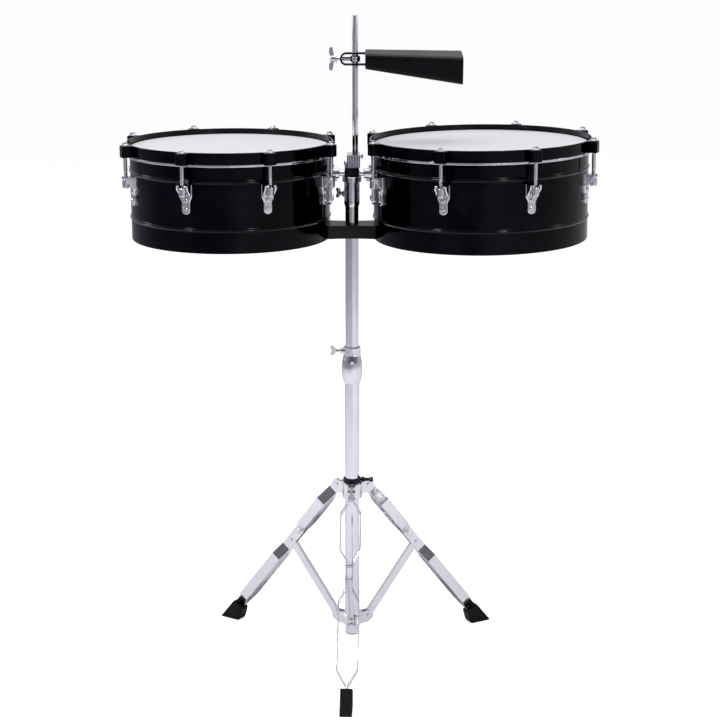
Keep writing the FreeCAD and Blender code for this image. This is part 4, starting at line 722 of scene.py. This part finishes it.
class TIMBALES_OT_lugs(bpy.types.Operator):
    """Makes the cast lugs with waisted bodies and forked claws"""
    bl_idname = "timbales.lugs"
    bl_label = "Lugs"

    def execute(self, context):
        sizes = context.scene.timbales_drums
        for side in SIDES:
            node = side + "_lugs"
            place = drum_place(side)
            washers = solids_round(side + "_rod_washers", place)
            across = (washers[0][1].x + washers[0][2].x) / 2
            solids = solids_round(node, place)
            top = solids[0][2].z
            tip = across - sizes.rod_reach + sizes.lug_reach
            one = self.lug(across, across - sizes.rod_reach, tip, top, solids[0][2].z - solids[0][1].z, sizes)
            whole = bmesh.new()
            for angle, _, _ in washers:
                add_copy(whole, one, place @ Matrix.Rotation(angle, 4, "Z"))
            one.free()
            body, slot = facts_of(node)
            make_piece(node + "_cast", whole, body, slot, [node])
        return {"FINISHED"}

    def lug(self, across, wall, tip, top, height, sizes):
        start = wall - sizes.lug_sink
        front = wall + sizes.lug_depth
        bottom = top - height
        wide, slim, end = sizes.lug_top / 2, sizes.lug_waist / 2, sizes.lug_bottom / 2
        round_top = top - sizes.lug_waist_drop - sizes.lug_soft
        right = [(end, bottom), (end, round_top), (slim, top - sizes.lug_waist_drop),
                 (wide, top - sizes.lug_shoulder_drop), (wide, top)]
        outline = right + [(-y, z) for y, z in reversed(right)]
        body = slab([(start, y, z) for y, z in outline], (front - start, 0.0, 0.0))
        across_ends = edges_where(body, lambda m, way: abs(way.x) > 0.9 and m.z < bottom + WELD)
        round_edges(body, across_ends, end * 0.97, 9)
        bends = edges_where(body, lambda m, way: abs(way.x) > 0.9 and round_top - WELD < m.z < top - WELD)
        round_edges(body, bends, sizes.lug_soft * 0.45, 4)
        face = edges_where(body, lambda m, way: m.x > front - WELD)
        round_edges(body, [e for e in face if e.calc_face_angle(0.0) > 0.6], sizes.lug_round, 4)
        half = sizes.claw_width / 2
        slot = sizes.rod_radius + sizes.claw_gap
        plate_low = top - sizes.claw_thickness
        plan = [(front - sizes.lug_round, -half), (tip, -half), (tip, -slot), (across - slot * 0.7, -slot),
                (across - slot, -slot * 0.7), (across - slot, slot * 0.7), (across - slot * 0.7, slot),
                (tip, slot), (tip, half), (front - sizes.lug_round, half)]
        claw = slab([(x, y, plate_low) for x, y in plan], (0.0, 0.0, sizes.claw_thickness))
        nose = edges_where(claw, lambda m, way: abs(way.z) > 0.9 and m.x > tip - WELD
                           and abs(m.y) > half - WELD)
        round_edges(claw, nose, sizes.claw_corner, 5)
        inner_nose = edges_where(claw, lambda m, way: abs(way.z) > 0.9 and m.x > tip - WELD
                                 and abs(m.y) < half)
        round_edges(claw, inner_nose, sizes.edge, 3)
        round_edges(claw, [e for e in sharp_edges(claw) if abs((e.verts[0].co - e.verts[1].co).z) < WELD],
                    sizes.edge, 3)
        one = bmesh.new()
        add_copy(one, body, Matrix.Identity(4))
        add_copy(one, claw, Matrix.Identity(4))
        side_line = [(front - sizes.lug_round, top - sizes.edge), (tip - sizes.cheek_inset, top - sizes.edge),
                     (tip - sizes.cheek_inset * 1.5, top - sizes.cheek_drop),
                     (front - sizes.lug_round, top - sizes.lug_shoulder_drop * 1.08)]
        for y in (-half, half - sizes.cheek_wall):
            cheek = slab([(x, y, z) for x, z in side_line], (0.0, sizes.cheek_wall, 0.0))
            round_edges(cheek, sharp_edges(cheek), sizes.edge, 3)
            add_copy(one, cheek, Matrix.Identity(4))
            cheek.free()
        body.free()
        claw.free()
        return one


# ------------------------------------------------------------------ screws
class TIMBALES_OT_wing_screws(bpy.types.Operator):
    """Makes the wing screws of the stand"""
    bl_idname = "timbales.wing_screws"
    bl_label = "Wing screws"

    def execute(self, context):
        sizes = context.scene.timbales_hardware
        for node, joint in WING_SCREWS.items():
            turn = next(j for j in frame["joints"] if j["name"] == joint)
            axis = Vector(turn["axis"])
            low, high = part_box(node)
            middle = (low + high) / 2
            origin = Vector(turn["pos_m"])
            outward = Vector((middle.x, middle.y, 0.0)).dot(axis)
            axis = axis if outward > 0.0 else -axis
            place = frame_of(Vector((0.0, 0.0, origin.z)), axis, (0.0, 0.0, 1.0))
            own_low, own_high = corners([place.inverted() @ v.co for v in nodes[node].data.vertices])
            screw = self.screw(own_low.x, own_high.x, sizes)
            if own_high.y - own_low.y > own_high.z - own_low.z:
                screw.transform(Matrix.Rotation(math.pi / 2, 4, "X"))
            screw.transform(place)
            body, slot = facts_of(node)
            make_piece(node + "_fine", screw, body, slot, [node])
        return {"FINISHED"}

    def screw(self, tip, end, sizes):
        """A wing screw along X, from its tip to the ends of its wings."""
        neck = end - sizes.wing_length
        boss = neck - sizes.neck_length - sizes.boss_length
        stem = threaded_rod(sizes, sizes.stem_radius, tip, neck, boss - sizes.thread_pitch)
        collar = lathe([(0.0, boss), (sizes.boss_radius, boss), (sizes.boss_radius, boss + sizes.boss_length),
                        (sizes.stem_radius, boss + sizes.boss_length + sizes.boss_slope), (0.0, neck)], 32)
        rims = edges_where(collar, lambda m, way: m.xy.length > sizes.boss_radius * 0.95 and abs(way.z) < 0.1)
        round_edges(collar, rims, sizes.edge, 3)
        one = bmesh.new()
        along = Matrix.Rotation(math.pi / 2, 4, "Y")
        for part in (stem, collar):
            add_copy(one, part, along)
            part.free()
        half = sizes.wing_span / 2
        waist = sizes.stem_radius
        flare = neck + sizes.wing_length * 0.42
        lower = [(neck - waist, -waist), (neck, -waist), (flare, -half), (end, -half), (end, -half * 0.42)]
        upper = [(x, -z) for x, z in reversed(lower)]
        line = lower + [(end - sizes.wing_length * 0.32, 0.0)] + upper
        thick = sizes.wing_thickness
        wing = slab([(x, -thick / 2, z) for x, z in line], (0.0, thick, 0.0))
        tips = edges_where(wing, lambda m, way: abs(way.y) > 0.9 and m.x > neck + WELD
                           and abs(m.z) > waist * 0.4)
        round_edges(wing, tips, sizes.wing_corner, 5)
        dip = edges_where(wing, lambda m, way: abs(way.y) > 0.9 and m.x > neck + WELD and abs(m.z) < WELD)
        round_edges(wing, dip, sizes.wing_corner, 4)
        round_edges(wing, sharp_edges(wing, 60.0), sizes.edge, 3)
        add_copy(one, wing, Matrix.Identity(4))
        wing.free()
        return one


# ------------------------------------------------------------------ cowbell
class TIMBALES_OT_cowbell(bpy.types.Operator):
    """Makes the cowbell's folded body with its rounded edges"""
    bl_idname = "timbales.cowbell"
    bl_label = "Cowbell"

    def execute(self, context):
        sizes = context.scene.timbales_hardware
        rod_low, rod_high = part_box("cowbell_rod")
        nut_low, nut_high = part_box("cowbell_wing_nut")
        middle = Vector((0.0, (rod_low.y + rod_high.y) / 2, (nut_low.z + nut_high.z) / 2))
        low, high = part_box("cowbell_body")
        bell = bmesh.new()
        bmesh.ops.create_cube(bell, size=1.0)
        ends = ((low.x, sizes.bell_end_depth, -sizes.bell_end_fall, sizes.bell_end_rise),
                (high.x, sizes.bell_mouth_depth, -sizes.bell_mouth_fall, sizes.bell_mouth_rise))
        for vertex in bell.verts:
            x, depth, bottom, top = ends[0] if vertex.co.x < 0.0 else ends[1]
            level = bottom if vertex.co.z < 0.0 else top
            vertex.co = Vector((x, math.copysign(depth / 2, vertex.co.y), level))
        round_edges(bell, edges_where(bell, lambda m, way: abs(way.x) > 0.9), sizes.bell_corner, 8)
        mouth = [f for f in bell.faces if f.calc_center_median().x > high.x - WELD]
        bmesh.ops.delete(bell, geom=mouth, context="FACES_ONLY")
        closed_end = edges_where(bell, lambda m, way: m.x < low.x + WELD)
        round_edges(bell, closed_end, sizes.bell_end_round, 4)
        bmesh.ops.subdivide_edges(bell, edges=edges_where(bell, lambda m, way: abs(way.x) > 0.9), cuts=5)
        bmesh.ops.recalc_face_normals(bell, faces=bell.faces)
        bmesh.ops.solidify(bell, geom=bell.faces, thickness=sizes.bell_wall)
        rim = edges_where(bell, lambda m, way: m.x > high.x - WELD and abs(way.x) < 0.5)
        round_edges(bell, [e for e in rim if e.calc_face_angle(0.0) > 0.8], sizes.bell_wall * 0.3, 2)
        place = Matrix.Translation(middle) @ Matrix.Rotation(sizes.bell_roll, 4, "X")
        bell.transform(place)
        body, slot = facts_of("cowbell_body")
        make_piece("cowbell_folded_body", bell, body, slot, ["cowbell_body"])
        return {"FINISHED"}


# ------------------------------------------------------------------ castings and pressings
class TIMBALES_OT_softened(bpy.types.Operator):
    """Makes the castings, pressings and feet again with softened edges"""
    bl_idname = "timbales.softened"
    bl_label = "Castings, pressings and feet"

    def execute(self, context):
        for name, width in SOFTENED.items():
            shape = merged_copy(name)
            round_edges(shape, sharp_edges(shape), width * MM, 3 if width > 0.3 else 2)
            body, slot = facts_of(name)
            make_piece(name + "_soft", shape, body, slot, [name])
        return {"FINISHED"}


# ------------------------------------------------------------------ stage
DRUM_HEIGHT = (0.0, 0.0, 0.8)
LIGHTS = (                      # name, place, what it faces, width, height, power in watts
    ("left_key", (-2.07, -1.74, 2.3), DRUM_HEIGHT, 0.38, 0.16, 34.0),
    ("right_key", (1.15, -2.45, 2.3), DRUM_HEIGHT, 0.36, 0.16, 28.0),
    ("left_edge", (-2.6, 0.75, 1.5), DRUM_HEIGHT, 0.4, 1.2, 10.0),
    ("right_edge", (2.5, -0.2, 1.5), DRUM_HEIGHT, 0.4, 1.2, 8.0),
    ("overhead", (0.0, 0.3, 3.0), (0.0, 0.0, 0.0), 2.2, 1.5, 22.0),
)


def area_light(name, place, target, width, height, power):
    data = bpy.data.lights.new(name, "AREA")
    data.shape = "RECTANGLE"
    data.size = width
    data.size_y = height
    data.energy = power
    lamp = bpy.data.objects.new(name, data)
    bpy.context.scene.collection.objects.link(lamp)
    lamp.location = place
    lamp.rotation_euler = (Vector(target) - Vector(place)).to_track_quat("-Z", "Y").to_euler()
    lamp.visible_camera = False


def studio_world():
    """White behind the object; a softer, darker room in everything that reflects it."""
    world = bpy.data.worlds.new("studio")
    bpy.context.scene.world = world
    world.use_nodes = True
    tree = world.node_tree
    tree.nodes.clear()
    path = put(tree, "ShaderNodeLightPath", -900, 300)
    place = put(tree, "ShaderNodeTexCoord", -900)
    axes = put(tree, "ShaderNodeSeparateXYZ", -700)
    join(tree, place.outputs["Generated"], axes.inputs[0])
    depth = spread(tree, axes.outputs["Y"], -0.9, 0.6)
    height = spread(tree, axes.outputs["Z"], 0.5, 1.0)
    front = mix_colour(tree, depth, (0.11, 0.11, 0.12, 1.0), (0.66, 0.65, 0.68, 1.0))
    room = mix_colour(tree, height, front, (0.58, 0.57, 0.59, 1.0))
    seen = put(tree, "ShaderNodeBackground", 300, 200, Color=(1.0, 1.0, 1.0, 1.0), Strength=1.0)
    felt = put(tree, "ShaderNodeBackground", 300, -100, Strength=1.0)
    join(tree, room, felt.inputs["Color"])
    both = put(tree, "ShaderNodeMixShader", 600)
    join(tree, path.outputs["Is Camera Ray"], both.inputs[0])
    join(tree, felt.outputs[0], both.inputs[1])
    join(tree, seen.outputs[0], both.inputs[2])
    output = put(tree, "ShaderNodeOutputWorld", 900)
    join(tree, both.outputs[0], output.inputs["Surface"])


def pale_floor():
    """A pale matt floor that glows where it is seen, and is darker far out in what mirrors it."""
    pale = bpy.data.materials.new("pale_floor")
    pale.use_nodes = True
    tree = pale.node_tree
    surface = tree.nodes["Principled BSDF"]
    surface.inputs["Roughness"].default_value = 0.75
    surface.inputs["Specular IOR Level"].default_value = 0.0
    surface.inputs["Emission Color"].default_value = (1.0, 1.0, 1.0, 1.0)
    seen_by = put(tree, "ShaderNodeLightPath", -600)
    glow = maths(tree, "MULTIPLY", seen_by.outputs["Is Camera Ray"], FLOOR_GLOW)
    join(tree, glow, surface.inputs["Emission Strength"])
    place = put(tree, "ShaderNodeTexCoord", -1200)
    axes = put(tree, "ShaderNodeSeparateXYZ", -1000)
    join(tree, place.outputs["Object"], axes.inputs[0])
    away = put(tree, "ShaderNodeVectorMath", -1000, -200, operation="LENGTH")
    join(tree, place.outputs["Object"], away.inputs[0])
    beside = spread(tree, axes.outputs["X"], -0.4, 0.9)
    far = mix_colour(tree, beside, FLOOR_LEFT, FLOOR_RIGHT)
    distance = spread(tree, away.outputs["Value"], 0.8, 2.4)
    mirrored = mix_colour(tree, distance, FLOOR_COLOUR, far)
    shown = mix_colour(tree, seen_by.outputs["Is Glossy Ray"], FLOOR_COLOUR, mirrored)
    join(tree, shown, surface.inputs["Base Color"])
    return pale


class TIMBALES_OT_stage(bpy.types.Operator):
    """Makes the pale floor, the studio lights and the camera"""
    bl_idname = "timbales.stage"
    bl_label = "Stage"

    def execute(self, context):
        scene = context.scene
        shape = bmesh.new()
        bmesh.ops.create_circle(shape, cap_ends=True, radius=FLOOR_RADIUS, segments=96)
        mesh = bpy.data.meshes.new("floor")
        shape.to_mesh(mesh)
        shape.free()
        floor = bpy.data.objects.new("floor", mesh)
        scene.collection.objects.link(floor)
        floor.location = (0.0, 0.0, cad_low.z - 0.0002)
        mesh.materials.append(pale_floor())
        studio_world()
        for light in LIGHTS:
            area_light(*light)
        camera = bpy.data.cameras.new("camera")
        camera.lens = CAMERA_LENS
        camera.sensor_width = 36.0
        seen = bpy.data.objects.new("camera", camera)
        scene.collection.objects.link(seen)
        seen.location = CAMERA_PLACE
        seen.rotation_euler = (math.radians(90.0 - CAMERA_PITCH), 0.0, 0.0)
        scene.camera = seen
        scene.view_settings.view_transform = "Standard"
        scene.view_settings.use_curve_mapping = True
        scene.view_settings.curve_mapping.black_level = (BLACK_LEVEL,) * 3
        return {"FINISHED"}


OPERATORS = (TIMBALES_OT_finishes, TIMBALES_OT_shells, TIMBALES_OT_heads, TIMBALES_OT_rods, TIMBALES_OT_lugs,
             TIMBALES_OT_wing_screws, TIMBALES_OT_cowbell, TIMBALES_OT_softened, TIMBALES_OT_stage)


class TIMBALES_PT_panel(bpy.types.Panel):
    """Lists the steps that make the timbales"""
    bl_idname = "TIMBALES_PT_panel"
    bl_label = "Timbales"
    bl_space_type = "VIEW_3D"
    bl_region_type = "UI"
    bl_category = "Timbales"

    def draw(self, context):
        for operator in OPERATORS:
            self.layout.operator(operator.bl_idname)


GROUPS = {"timbales_finishes": TimbalesFinishes, "timbales_drums": TimbalesDrums,
          "timbales_hardware": TimbalesHardware}
CLASSES = tuple(GROUPS.values()) + OPERATORS + (TIMBALES_PT_panel,)


def register():
    for made in CLASSES:
        bpy.utils.register_class(made)
    for name, group in GROUPS.items():
        setattr(bpy.types.Scene, name, bpy.props.PointerProperty(type=group))


def unregister():
    for name in GROUPS:
        delattr(bpy.types.Scene, name)
    for made in reversed(CLASSES):
        bpy.utils.unregister_class(made)


def main():
    register()
    for operator in OPERATORS:
        group, name = operator.bl_idname.split(".")
        getattr(getattr(bpy.ops, group), name)()


if __name__ == "__main__":
    main()
